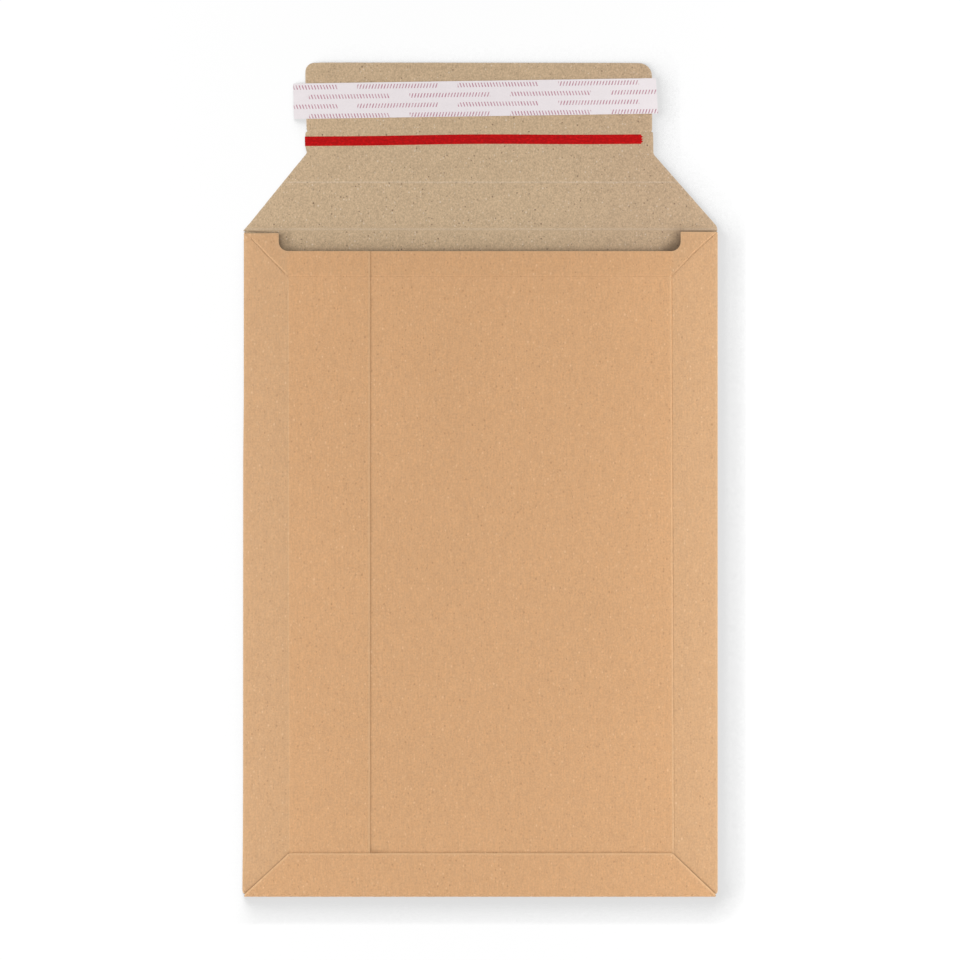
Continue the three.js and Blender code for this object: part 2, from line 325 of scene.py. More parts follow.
class Shade:
    """A value in a material's nodes, written as maths."""

    def __init__(self, recipe: "Recipe", socket: bpy.types.NodeSocket) -> None:
        """Keeps the material that the value belongs to and the socket that gives it."""
        self.recipe = recipe
        self.socket = socket

    def __add__(self, other: Link) -> "Shade":
        """This value plus another."""
        return self.recipe.maths("ADD", self, other)

    def __radd__(self, other: Link) -> "Shade":
        """Another value plus this one."""
        return self.recipe.maths("ADD", other, self)

    def __sub__(self, other: Link) -> "Shade":
        """This value less another."""
        return self.recipe.maths("SUBTRACT", self, other)

    def __rsub__(self, other: Link) -> "Shade":
        """Another value less this one."""
        return self.recipe.maths("SUBTRACT", other, self)

    def __mul__(self, other: Link) -> "Shade":
        """This value times another."""
        return self.recipe.maths("MULTIPLY", self, other)

    def __rmul__(self, other: Link) -> "Shade":
        """Another value times this one."""
        return self.recipe.maths("MULTIPLY", other, self)

    def __truediv__(self, other: Link) -> "Shade":
        """This value divided by another."""
        return self.recipe.maths("DIVIDE", self, other)

    def __rtruediv__(self, other: Link) -> "Shade":
        """Another value divided by this one."""
        return self.recipe.maths("DIVIDE", other, self)

    def __mod__(self, other: Link) -> "Shade":
        """What is left of this value over whole steps of another."""
        return self.recipe.maths("FLOORED_MODULO", self, other)

    def __abs__(self) -> "Shade":
        """This value without its sign."""
        return self.recipe.maths("ABSOLUTE", self, 0.0)

    def floor(self) -> "Shade":
        """The whole number at or below this value."""
        return self.recipe.maths("FLOOR", self, 0.0)

    def rise(self, start: float, end: float) -> "Shade":
        """Eases from 0 to 1 while this value goes from start to end."""
        inputs = {"Value": self, "From Min": start, "From Max": end}
        return self.recipe.node("ShaderNodeMapRange", {"interpolation_type": "SMOOTHSTEP"}, inputs)


@dataclass(frozen=True)
class Grain:
    """Size and strength of a noise.

    Args:
        size: Size of its blotches across, along and up, in millimetres.
        strength: Difference between its extremes.
        seed: Which part of the noise is taken.
        detail: How many finer layers it has.
        roughness: How strong those are.
    """

    size: Triple
    strength: float
    seed: int
    detail: float = 1.0
    roughness: float = 0.5


@dataclass(frozen=True)
class Specks:
    """Scattered small specks.

    Args:
        cell: Distance between places where a speck may be, across and along, in millimetres.
        share: Share of those places that have one.
        radius: Radius of the largest, as a share of the distance between places.
        strength: How strongly the strongest show.
        seed: Which part of the scatter is taken.
        smallest: Radius of the smallest, as a share of the largest.
        edge: Where a speck's edge starts and ends to fade, as shares of its radius.
        faintest: Strength of the faintest, as a share of the strongest.
    """

    cell: Pair
    share: float
    radius: float
    strength: float
    seed: int
    smallest: float = 0.4
    edge: Pair = (0.5, 1.2)
    faintest: float = 0.25


class Recipe:
    """A material, or the world's surroundings, put together node by node."""

    def __init__(self, name: str, world: bpy.types.World | None = None) -> None:
        """Makes the material, or takes the world, and clears its nodes.

        Args:
            name: Name of the material.
            world: The world, if it is that which is put together.
        """
        self.owner = world or bpy.data.materials.new(name)
        self.owner.use_nodes = True
        self.tree = self.owner.node_tree
        self.tree.nodes.clear()

    def add(
        self,
        kind: str,
        settings: Mapping[str, object],
        inputs: Mapping[str | int, Link],
    ) -> bpy.types.Node:
        """Adds a node.

        Args:
            kind: The node's type.
            settings: Its settings, which are made first.
            inputs: Values or links of its sockets, by name or number.

        Returns:
            The node.
        """
        made = self.tree.nodes.new(kind)
        for key, value in settings.items():
            setattr(made, key, value)
        for key, value in inputs.items():
            socket = made.inputs[key]
            if isinstance(value, Shade):
                self.tree.links.new(value.socket, socket)
            elif socket.type == "RGBA":
                socket.default_value = (*value, 1.0)
            else:
                socket.default_value = value
        return made

    def node(
        self,
        kind: str,
        settings: Mapping[str, object],
        inputs: Mapping[str | int, Link],
        output: str | int = 0,
    ) -> Shade:
        """Adds a node, as above, and gives one of its outputs, by name or number."""
        return Shade(self, self.add(kind, settings, inputs).outputs[output])

    def maths(self, operation: str, first: Link, second: Link) -> Shade:
        """Works two numbers together."""
        return self.node("ShaderNodeMath", {"operation": operation}, {0: first, 1: second})

    def stored(self, name: str, output: str = "Fac") -> Shade:
        """What is stored on the mesh by a name: a number, or a vector if that output is asked for."""
        return self.node("ShaderNodeAttribute", {"attribute_name": name}, {}, output)

    def grain(self) -> Shade:
        """The sheet's own coordinates, in millimetres, that its finish is laid by."""
        return self.stored("grain", "Vector")

    def own_place(self) -> Shade:
        """The object's own coordinates, in millimetres."""
        return self.tinted(self.node("ShaderNodeTexCoord", {}, {}, "Object"), 1.0 / MM)

    def seen(self) -> Shade:
        """1 for what the camera sees, straight, in a gloss or through something clear, otherwise 0."""
        rays = self.add("ShaderNodeLightPath", {}, {}).outputs
        kinds = ("Is Camera Ray", "Is Glossy Ray", "Is Transmission Ray")
        straight, glossy, clear = (Shade(self, rays[kind]) for kind in kinds)
        return self.maths("MINIMUM", straight + glossy + clear, 1.0)

    def split(self, vector: Shade) -> tuple[Shade, ...]:
        """The three parts of a vector."""
        made = self.add("ShaderNodeSeparateXYZ", {}, {0: vector})
        return tuple(Shade(self, part) for part in made.outputs)

    def counted(self, where: Shade, size: Sequence[float], seed: int) -> Shade:
        """Coordinates counted in blotches, from a place that differs with the seed.

        Args:
            where: Coordinates in millimetres.
            size: Size of a blotch in each direction.
            seed: The seed.

        Returns:
            The coordinates.
        """
        stretch = tuple(1.0 / length for length in size)
        shift = tuple(seed * step for step in SEED_SHIFTS)
        inputs = {0: where, 1: stretch, 2: shift}
        return self.node("ShaderNodeVectorMath", {"operation": "MULTIPLY_ADD"}, inputs)

    def noise(self, where: Shade, grain: Grain) -> Shade:
        """Noise around 0, from about -0.5 to 0.5, times the grain's strength.

        Args:
            where: Coordinates in millimetres.
            grain: Size and strength of the noise.

        Returns:
            The noise.
        """
        placed = self.counted(where, grain.size, grain.seed)
        inputs = {"Vector": placed, "Scale": 1.0, "Detail": grain.detail, "Roughness": grain.roughness}
        return (self.node("ShaderNodeTexNoise", {}, inputs) - 0.5) * grain.strength

    def specks(self, where: Shade, specks: Specks) -> Shade:
        """Scattered specks.

        Args:
            where: Coordinates in millimetres.
            specks: Their size and number.

        Returns:
            How strongly a speck shows, 0 beside them.
        """
        placed = self.counted(where, (*specks.cell, 1.0), specks.seed)
        inputs = {"Vector": placed, "Scale": 1.0}
        cells = self.add("ShaderNodeTexVoronoi", {"voronoi_dimensions": "2D"}, inputs).outputs
        lot, size, tone = self.split(Shade(self, cells["Color"]))
        chosen = lot.rise(1.0 - specks.share, 1.001 - specks.share)
        distance = Shade(self, cells["Distance"]) / (size * (1.0 - specks.smallest) + specks.smallest)
        start, end = (share * specks.radius for share in specks.edge)
        strength = tone * tone * (1.0 - specks.faintest) + specks.faintest
        return chosen * (1.0 - distance.rise(start, end)) * strength * specks.strength

    def mix(self, share: Link, under: Link, over: Link, blend: Blend = Blend.PLAIN) -> Shade:
        """Lays a share of one colour over another."""
        settings = {"data_type": "RGBA", "blend_type": blend.value, "clamp_factor": True}
        return self.node("ShaderNodeMix", settings, {0: share, 6: under, 7: over}, 2)

    def tinted(self, colour: Link, strength: Link) -> Shade:
        """A colour or a vector times a number."""
        return self.node("ShaderNodeVectorMath", {"operation": "SCALE"}, {0: colour, "Scale": strength})

    def bump(self, height: Shade, reach: float) -> Shade:
        """A normal that is tilted by a height, counted in a reach in millimetres."""
        return self.node("ShaderNodeBump", {}, {"Height": height, "Distance": reach * MM})

    def surface(self, colour: Link, roughness: Link, normal: Shade, gloss: float) -> bpy.types.Material:
        """Finishes the material.

        Args:
            colour: Its colour.
            roughness: Its roughness.
            normal: Its normal.
            gloss: Its specular level.

        Returns:
            The material.
        """
        inputs = {"Base Color": colour, "Roughness": roughness, "Normal": normal}
        inputs["Specular IOR Level"] = gloss
        body = self.node("ShaderNodeBsdfPrincipled", {}, inputs)
        self.add("ShaderNodeOutputMaterial", {}, {"Surface": body})
        return self.owner


# Finishes


@dataclass(frozen=True)
class BoardFace:
    """A face of the board: fibres and specks, with pale rubbing, painted highlight, painted shade and a
    tint.

    Args:
        name: Name of the material.
        specks: Its specks and stray fibres, each with their colour.
        rub_and_highlight: Colour where rubbing has made a crease, a fold or a cut pale, and of painted
            highlight.
        rubs_and_highlights: Masks of rubbing and of painted highlight, and how much.
        rub_patches: How much the rubbing and the painted highlight are even, and follow the clouds and the
            mottle.
        tint: Name of the mask where it is tinted, and the tint; the kraft's is a painted sheen.
        painted_shade: Colour of painted shade, laid where an edge or a wall casts shadow.
        lumps: How much mottle, fibre and clouds stand out.
        polish: How much clouds and mottle change the roughness.
        relief: Height of its fibres, in millimetres.
        painted_shade_share: How much of the painted shade's colour shows.
        warmer: Colour where it leans to red, in patches that hue gives.
        drift: Faint large patches.
    """

    name: str
    base: Colour
    mottle: Grain
    fibre: Grain
    cloud: Grain
    specks: tuple[tuple[Specks, Colour], ...]
    rub_and_highlight: Colour
    rubs_and_highlights: tuple[tuple[str, float], ...]
    rub_patches: Triple
    tint: tuple[str, Colour]
    painted_shade: Colour
    lumps: Triple
    polish: Pair
    roughness: float
    gloss: float
    relief: float
    painted_shade_share: float = 0.75
    warmer: Colour | None = None
    hue: Grain | None = None
    drift: Grain | None = None

    def material(self) -> bpy.types.Material:
        """Makes the material."""
        recipe = Recipe(self.name)
        where = recipe.grain()
        grains = (self.mottle, self.fibre, self.cloud)
        mottle, fibre, cloud = (recipe.noise(where, grain) for grain in grains)
        light = 1.0 + mottle + fibre + cloud
        if self.drift:
            light = light + recipe.noise(where, self.drift)
        colour = self.base
        if self.hue:
            colour = recipe.mix(recipe.noise(where, self.hue) + 0.5, colour, self.warmer)
        colour = recipe.tinted(colour, light)
        for specks, tone in self.specks:
            colour = recipe.mix(recipe.specks(where, specks), colour, tone)
        # Paler from rubbing at creases, folds and cut edges, and from painted highlight on lit crease walls
        # and edges.
        rub_and_highlight_share = sum(recipe.stored(mask) * share for mask, share in self.rubs_and_highlights)
        even, cloudy, mottled = self.rub_patches
        colour = recipe.mix(rub_and_highlight_share * (cloud * cloudy + mottle * mottled + even), colour, self.rub_and_highlight)
        # The tint by a mask: a painted sheen greying the kraft's side bands; the grey face darker to the
        # right.
        mask, tint = self.tint
        colour = recipe.mix(recipe.stored(mask), colour, tint, Blend.MULTIPLY)
        # Painted shade: a darker colour laid where an edge or a wall casts shadow.
        colour = recipe.mix(recipe.stored("painted_shade") * self.painted_shade_share, colour, self.painted_shade)
        height = mottle * self.lumps[0] + fibre * self.lumps[1] + cloud * self.lumps[2]
        rough = self.roughness + cloud * self.polish[0] + mottle * self.polish[1]
        return recipe.surface(colour, rough, recipe.bump(height, self.relief), self.gloss)


KRAFT_FACE = BoardFace(
    name="kraft_face",
    base=(0.618, 0.361, 0.188),
    warmer=(0.645, 0.360, 0.174),
    hue=Grain((2.2, 4.0, 2.0), 1.2, 13, 2.0),
    mottle=Grain((0.95, 1.05, 1.0), 0.42, 3, 2.0, 0.6),
    fibre=Grain((0.55, 3.6, 1.0), 0.20, 5, 1.0),
    cloud=Grain((5.0, 8.0, 5.0), 0.12, 7, 3.0, 0.6),
    drift=Grain((55.0, 80.0, 40.0), 0.05, 9),
    specks=(
        (Specks((1.6, 2.2), 0.16, 0.34, 0.66, 21), (0.42, 0.22, 0.10)),
        (Specks((1.5, 2.4), 0.15, 0.34, 0.66, 22), (0.80, 0.52, 0.30)),
    ),
    # rubbing, and painted highlight on creases and cut edges
    rub_and_highlight=(0.72, 0.46, 0.25),
    rubs_and_highlights=(("crease", 0.55), ("worn", 0.35), ("rim", 0.42)),
    rub_patches=(0.9, 6.0, 2.0),
    # painted sheen: the side bands tinted greyer, in place of the lamps' sheen on them
    tint=("painted_sheen", (0.934, 0.974, 1.02)),
    # colour of painted shade
    painted_shade=(0.30, 0.165, 0.08),
    lumps=(1.0, 1.5, 2.0),
    polish=(-0.6, 0.1),
    roughness=0.72,
    gloss=0.22,
    relief=0.03,
)
GREY_FACE = BoardFace(
    name="grey_face",
    base=(0.546, 0.398, 0.252),
    mottle=Grain((0.80, 0.92, 1.0), 0.92, 31, 2.0, 0.6),
    fibre=Grain((0.6, 3.0, 1.0), 0.20, 33, 1.0),
    cloud=Grain((5.0, 8.0, 5.0), 0.17, 35, 3.0, 0.6),
    specks=(
        (Specks((1.5, 1.8), 0.20, 0.32, 0.9, 43), (0.70, 0.58, 0.44)),
        (Specks((1.6, 1.8), 0.12, 0.32, 0.9, 41), (0.17, 0.11, 0.07)),
    ),
    # rubbing, and painted highlight on creases and cut edges
    rub_and_highlight=(0.70, 0.58, 0.44),
    rubs_and_highlights=(("crease", 0.35), ("rim", 0.15)),
    rub_patches=(1.0, 0.0, 3.0),
    tint=("dusk", (0.925, 0.905, 0.915)),
    # colour of painted shade
    painted_shade=(0.20, 0.135, 0.085),
    lumps=(1.0, 1.0, 2.0),
    polish=(0.0, 0.2),
    roughness=0.82,
    gloss=0.15,
    relief=0.035,
)


@dataclass(frozen=True)
class CutEdge:
    """Cut edge of the board, whose plies show as thin bands between the two faces.

    Args:
        plies: How many bands show.
        core_from: Where the outer plies give way to the core, as shares of the thickness.
        tuft: Ragged fibres along the cut.
        darkest: Brightness between the bands.
        band_light: How much brighter the bands are.
        band_lump: How much they stand out.
        relief: Height of its fibres, in millimetres.
    """

    outer: Colour = (0.60, 0.36, 0.18)
    core: Colour = (0.56, 0.42, 0.27)
    plies: float = 4.0
    core_from: Pair = (0.1, 0.45)
    tuft: Grain = Grain((0.9, 0.9, 0.25), 0.6, 51, 2.0)
    ply_grain: Grain = Grain((6.0, 6.0, 1.0), 0.5, 53, 2.0)
    darkest: float = 0.86
    band_light: float = 0.2
    band_lump: float = 0.5
    roughness: float = 0.9
    gloss: float = 0.1
    relief: float = 0.08

    def material(self) -> bpy.types.Material:
        """Makes the material."""
        recipe = Recipe("cut_edge")
        where = recipe.grain()
        ply = recipe.stored("ply")
        tuft = recipe.noise(where, self.tuft)
        band = abs((ply * self.plies + recipe.noise(where, self.ply_grain)) % 1.0 - 0.5) * 2.0
        colour = recipe.mix(ply.rise(*self.core_from), self.outer, self.core)
        colour = recipe.tinted(colour, self.darkest + band * self.band_light + tuft)
        normal = recipe.bump(tuft + band * self.band_lump, self.relief)
        return recipe.surface(colour, self.roughness, normal, self.gloss)


@dataclass(frozen=True)
class RedTape:
    """Red tear tape: satin film with a faint drawn grain.

    Args:
        paler: Colour of its thinner patches.
        thin_from: Height of the unevenness where a patch starts to be thin, and where it is.
        thin_share: How much of the paler colour shows there.
        drawn: Faint lines along the tape.
        patch: Unevenness of the film.
        drawn_lump: How much the lines stand out.
        polish: How much the unevenness changes the roughness.
        relief: Height of its unevenness, in millimetres.
    """

    base: Colour = (0.452, 0.0022, 0.0030)
    paler: Colour = (0.60, 0.012, 0.014)
    thin_from: Pair = (-0.05, 0.3)
    thin_share: float = 0.5
    drawn: Grain = Grain((9.0, 0.5, 1.0), 0.45, 61, 2.0)
    patch: Grain = Grain((1.6, 1.0, 1.0), 0.85, 63, 2.0)
    drawn_lump: float = 0.6
    polish: float = 0.4
    roughness: float = 0.42
    gloss: float = 0.05
    relief: float = 0.03

    def material(self) -> bpy.types.Material:
        """Makes the material."""
        recipe = Recipe("red_tear_tape")
        where = recipe.grain()
        drawn = recipe.noise(where, self.drawn)
        patch = recipe.noise(where, self.patch)
        colour = recipe.mix(patch.rise(*self.thin_from) * self.thin_share, self.base, self.paler)
        colour = recipe.tinted(colour, 1.0 + drawn + patch)
        normal = recipe.bump(patch + drawn * self.drawn_lump, self.relief)
        return recipe.surface(colour, self.roughness + patch * self.polish, normal, self.gloss)


@dataclass(frozen=True)
class LinerPaper:
    """White release paper with rows of pale slanted ticks, in groups that lean either way.

    Args:
        first_row: Distance of the first row's middle from the upper edge.
        tick_half: Half of a tick's height.
        lean: How far a tick leans over a millimetre of its height.
        group: Length of a group.
        group_pitch: Distance between groups' middles.
        group_start: Where the middle of one group in the odd rows is.
        group_shift: How far the groups of the even rows are from there.
        blur: Width over which a tick's edge fades.
        group_blur: Width over which a group's end fades.
        ink_share: How much of the ink's colour shows.
        ink_grain: Unevenness of the ink.
        cloud_lump: How much the clouds stand out.
        polish: How much clouds and ink change the roughness.
        relief: Height of its unevenness, in millimetres.
    """

    base: Colour = (0.802, 0.743, 0.759)
    ink: Colour = (0.450, 0.190, 0.255)
    first_row: float = 2.15
    row_pitch: float = 5.08
    tick_half: float = 1.15
    tick_pitch: float = 1.6
    tick_width: float = 0.58
    lean: float = 0.35
    group: float = 42.8
    group_pitch: float = 53.0
    group_start: float = -43.7
    group_shift: float = 27.5
    blur: float = 0.12
    group_blur: float = 0.2
    sheen: Grain = Grain((0.7, 0.7, 1.0), 0.10, 71, 2.0)
    cloud: Grain = Grain((6.0, 5.0, 1.0), 0.06, 73, 2.0)
    ink_share: float = 0.9
    ink_grain: Grain = Grain((0.8, 0.8, 1.0), 1.6, 75, 1.0)
    cloud_lump: float = 3.0
    polish: Pair = (0.8, 0.1)
    roughness: float = 0.38
    gloss: float = 0.25
    relief: float = 0.012

    def ticks(self, recipe: Recipe, where: Shade) -> Shade:
        """Where the ticks are printed.

        Args:
            recipe: The material.
            where: Places along the paper and down from its upper edge.

        Returns:
            1 on a tick and 0 beside it.
        """
        along, down, _ = recipe.split(where)
        lifted = down - (self.first_row - 0.5 * self.row_pitch)
        row = (lifted / self.row_pitch).floor()
        height = lifted - (row + 0.5) * self.row_pitch
        shifted = along - self.group_start - (row % 2.0) * self.group_shift
        step = shifted / self.group_pitch + 0.5
        group = step.floor()
        beside = abs(step - group - 0.5) * self.group_pitch
        leaning = 1.0 - (group % 2.0) * 2.0
        tick = (along + height * leaning * self.lean) / self.tick_pitch
        across = abs(tick % 1.0 - 0.5) * self.tick_pitch
        half = 0.5 * self.tick_width
        on_tick = 1.0 - across.rise(half - self.blur, half + self.blur)
        on_row = 1.0 - abs(height).rise(self.tick_half - self.blur, self.tick_half + self.blur)
        on_group = 1.0 - beside.rise(0.5 * self.group - self.group_blur, 0.5 * self.group)
        return on_tick * on_row * on_group

    def material(self) -> bpy.types.Material:
        """Makes the material."""
        recipe = Recipe("liner_paper")
        where = recipe.grain()
        sheen = recipe.noise(where, self.sheen)
        cloud = recipe.noise(where, self.cloud)
        ink = self.ticks(recipe, where) * (self.ink_share + recipe.noise(where, self.ink_grain))
        colour = recipe.mix(ink, recipe.tinted(self.base, 1.0 + sheen + cloud), self.ink)
        normal = recipe.bump(sheen + cloud * self.cloud_lump, self.relief)
        rough = self.roughness + cloud * self.polish[0] + ink * self.polish[1]
        return recipe.surface(colour, rough, normal, self.gloss)


@dataclass(frozen=True)
class Gluey:
    """A line of glue: cloudy, with small bubbles and a lumpy surface.

    Args:
        name: Name of the material.
        yellowed: Colour of its thicker parts.
        thick_from: Height of a lump where it starts to yellow, and where it has.
        bubble: Noise whose peaks are bubbles.
        bubble_from: Height of that noise where a bubble's wall starts, and where its middle is.
        bubble_light: How much brighter a bubble is.
        lumps: How much the lumps stand out, and the bubbles sink in.
        polish: How much the lumps change the roughness.
        relief: Height of its lumps, in millimetres.
    """

    name: str
    base: Colour
    yellowed: Colour
    roughness: float
    gloss: float = 0.5
    lump: Grain = Grain((2.5, 2.5, 0.4), 0.5, 81, 2.0)
    thick_from: Pair = (-0.15, 0.2)
    bubble: Grain = Grain((0.8, 0.8, 0.4), 1.0, 83)
    bubble_from: Pair = (0.1, 0.25)
    bubble_light: float = 0.3
    lumps: Pair = (2.0, -0.6)
    polish: float = 0.3
    relief: float = 0.03

    def material(self) -> bpy.types.Material:
        """Makes the material."""
        recipe = Recipe(self.name)
        where = recipe.own_place()
        lump = recipe.noise(where, self.lump)
        bubble = recipe.noise(where, self.bubble)
        colour = recipe.mix(lump.rise(*self.thick_from), self.base, self.yellowed)
        colour = recipe.tinted(colour, 1.0 + bubble * self.bubble_light)
        height = lump * self.lumps[0] + bubble.rise(*self.bubble_from) * self.lumps[1]
        rough = self.roughness + lump * self.polish
        return recipe.surface(colour, rough, recipe.bump(height, self.relief), self.gloss)


# Sheets


@dataclass
class SheetMesh:
    """A thin closed sheet made from a flat cut-out, with its two skins and its cut edge.

    Args:
        name: Name of the piece.
        corners: The flat cut-out's edge, in order and anticlockwise.
        points: Points that the mesh has to hold; those outside or on the edge are left out.
        place: Folds flat points, given with their distance from the edge, to both skins' points.
        grain: Coordinates that the finish is laid by, for the flat points.
        spacing: Greatest distance between points along the cut edge.
        roughness: How far the cut edge strays from its line.
        rows_inside: Distances from the edge of further rows of points.
        clear: Share of such a distance that other points keep from the edge.
        rim: Distance from the cut edge over which the rim mask, of rubbing and painted highlight, fades.
        edge_rows: Rows of faces across the cut edge.
        edge_bulge: How far the cut edge swells between the skins.
        nudge: Step by which the direction of that swelling is found.
        merged: Distance below which flat points are one.
        sliver: Twice the area below which a triangle is left out.
        marks: Further masks by name, each a function of the flat points.
        seed: Seed of its random draws.
    """

    name: str
    corners: Points
    points: Points
    place: Callable[[Points, np.ndarray], Skins]
    grain: Callable[[Points], Points]
    spacing: float = 1.5
    roughness: float = 0.02
    rows_inside: tuple[float, ...] = (0.25, 0.6, 1.1)
    clear: float = 0.75
    rim: float = 1.2
    edge_rows: int = 3
    edge_bulge: float = 0.03
    nudge: float = 0.05
    merged: float = 1e-5
    sliver: float = 1e-7
    marks: Mapping[str, Callable[[Points], np.ndarray]] = field(default_factory=dict)
    seed: int = 11

    def edge_segments(self) -> np.ndarray:
        """The cut edge as segments, one in each row."""
        return np.concatenate([self.corners, np.roll(self.corners, -1, axis=0)], 1)

    def layout(self) -> Skins:
        """Lays out the flat points.

        Returns:
            The points of the edge in order, and all points inside it.
        """
        clean = resample(self.corners, self.spacing)
        stray = np.random.default_rng(self.seed).normal(0.0, self.roughness, len(clean))
        edge = clean + (inward_offset(clean, 1.0) - clean) * stray[:, None]
        segments = self.edge_segments()
        rows = []
        for distance in self.rows_inside:
            row = inward_offset(edge, distance)
            rows.append(row[nearest_distance(row, segments) > self.clear * distance])
        gap = nearest_distance(self.points, segments)
        rows.append(self.points[gap > self.clear * self.rows_inside[-1]])
        spread = np.concatenate(rows)
        spread = spread[inside(spread, edge)]
        cell = 0.5 * self.rows_inside[0]
        _, first = np.unique(np.round(spread / cell), axis=0, return_index=True)
        return edge, spread[np.sort(first)]

    def triangulate(self) -> tuple[Points, np.ndarray]:
        """Cuts the flat shape into triangles that keep its outline.

        Returns:
            The points and the triangles, all turning left.
        """
        edge, spread = self.layout()
        flat = np.concatenate([edge, spread])
        count = len(edge)
        loop = [(i, (i + 1) % count) for i in range(count)]
        cut = delaunay_2d_cdt([Vector(p) for p in flat], loop, [], 0, self.merged, False)
        where = np.array([[v.x, v.y] for v in cut[0]])
        triangles = np.array([f for f in cut[2] if len(f) == 3])
        corners = where[triangles]
        first, second = corners[:, 1] - corners[:, 0], corners[:, 2] - corners[:, 0]
        area = first[:, 0] * second[:, 1] - first[:, 1] * second[:, 0]
        triangles[area < 0] = triangles[area < 0][:, ::-1]
        kept = inside(corners.mean(1), edge) & (np.abs(area) > self.sliver)
        used, renumbered = np.unique(triangles[kept], return_inverse=True)
        return where[used], renumbered.reshape(-1, 3)

    @staticmethod
    def border(triangles: np.ndarray) -> np.ndarray:
        """The edges that only one triangle has, as pairs of point numbers in its turning sense."""
        edges = triangles[:, [0, 1, 1, 2, 2, 0]].reshape(-1, 2).astype(np.int64)
        size = edges.max() + 1
        forth, back = edges[:, 0] * size + edges[:, 1], edges[:, 1] * size + edges[:, 0]
        return edges[~np.isin(forth, back)]

    def swell(self, flat: Points, gap: np.ndarray, border: np.ndarray, on_edge: np.ndarray) -> Points:
        """Directions in which the cut edge swells.

        Args:
            flat: The flat points.
            gap: Their distances from the edge.
            border: The edge's pairs of point numbers.
            on_edge: Numbers of the points on the edge.

        Returns:
            A direction in space for each point on the edge.
        """
        ahead = np.zeros_like(flat)
        step = flat[border[:, 1]] - flat[border[:, 0]]
        np.add.at(ahead, border[:, 0], step)
        np.add.at(ahead, border[:, 1], step)
        out = np.stack([ahead[:, 1], -ahead[:, 0]], 1)[on_edge]
        out /= np.maximum(np.hypot(out[:, 0], out[:, 1]), TINY)[:, None]
        here = sum(self.place(flat[on_edge], gap[on_edge]))
        within = sum(self.place(flat[on_edge] - out * self.nudge, gap[on_edge] + self.nudge))
        away = here - within
        return away / np.maximum(np.linalg.norm(away, axis=1), TINY)[:, None]

    def build(self) -> bpy.types.Object:
        """Builds the piece, in metres, with its masks and a material slot's faces for each skin.

        Returns:
            The object, linked to the scene.
        """
        flat, triangles = self.triangulate()
        gap = nearest_distance(flat, self.edge_segments())
        outer, inner = self.place(flat, gap)
        border = self.border(triangles)
        on_edge = np.unique(border)
        away = self.swell(flat, gap, border, on_edge)
        count, ring = len(flat), len(on_edge)

        blocks, ply = [outer, inner], [np.zeros(count), np.ones(count)]
        starts = np.zeros((self.edge_rows + 1, count), np.int64)
        starts[0], starts[-1] = np.arange(count), np.arange(count) + count
        for row, level in enumerate(np.linspace(0.0, 1.0, self.edge_rows + 1)[1:-1], 1):
            bulge = away * self.edge_bulge * math.sin(math.pi * level)
            blocks.append(outer[on_edge] * (1 - level) + inner[on_edge] * level + bulge)
            ply.append(np.full(ring, level))
            starts[row, on_edge] = 2 * count + (row - 1) * ring + np.arange(ring)
        vertices = np.concatenate(blocks) - (0.0, FOLD_BELOW_ORIGIN, 0.0)

        a, b = border[:, 0], border[:, 1]
        walls = [np.stack([low[a], low[b], high[b], high[a]], 1) for low, high in zip(starts, starts[1:])]
        walls = np.concatenate(walls).tolist()
        mesh = bpy.data.meshes.new(self.name)
        faces = triangles[:, ::-1].tolist() + (triangles + count).tolist() + walls
        mesh.from_pydata((vertices * MM).tolist(), [], faces)
        slots = [Skin.OUTER.value] * len(triangles) + [Skin.INNER.value] * len(triangles)
        mesh.polygons.foreach_set("material_index", slots + [Skin.CUT.value] * len(walls))
        self.sharpen(mesh, np.concatenate([border, border + count]))
        self.store(mesh, "ply", np.concatenate(ply))
        # The rim mask pales the cut edges: rubbing, and painted highlight.
        masks = {"grain": self.grain(flat), "rim": 1.0 - smooth(gap / self.rim)}
        masks.update((name, mark(flat)) for name, mark in self.marks.items())
        for name, values in masks.items():
            everywhere = [values, values] + [values[on_edge]] * (self.edge_rows - 1)
            self.store(mesh, name, np.concatenate(everywhere))
        mesh.update()
        piece = bpy.data.objects.new(self.name, mesh)
        bpy.context.scene.collection.objects.link(piece)
        return piece

    @staticmethod
    def sharpen(mesh: bpy.types.Mesh, edges: np.ndarray) -> None:
        """Marks edges as sharp, so that a skin and the cut edge are shaded apart.

        Args:
            mesh: The mesh.
            edges: Pairs of point numbers.
        """
        size = len(mesh.vertices)
        ends = np.zeros(len(mesh.edges) * 2, np.int32)
        mesh.edges.foreach_get("vertices", ends)
        ends = np.sort(ends.reshape(-1, 2).astype(np.int64), axis=1)
        wanted = np.sort(edges.astype(np.int64), axis=1)
        sharp = np.isin(ends[:, 0] * size + ends[:, 1], wanted[:, 0] * size + wanted[:, 1])
        attribute = mesh.attributes.new("sharp_edge", "BOOLEAN", "EDGE")
        attribute.data.foreach_set("value", sharp)

    @staticmethod
    def store(mesh: bpy.types.Mesh, name: str, values: np.ndarray) -> None:
        """Stores a number or a row of three for each of the mesh's points.

        Args:
            mesh: The mesh.
            name: Name of the attribute.
            values: The numbers or rows.
        """
        kind, slot = ("FLOAT", "value") if values.ndim == 1 else ("FLOAT_VECTOR", "vector")
        attribute = mesh.attributes.new(name, kind, "POINT")
        attribute.data.foreach_set(slot, np.asarray(values, np.float32).ravel())


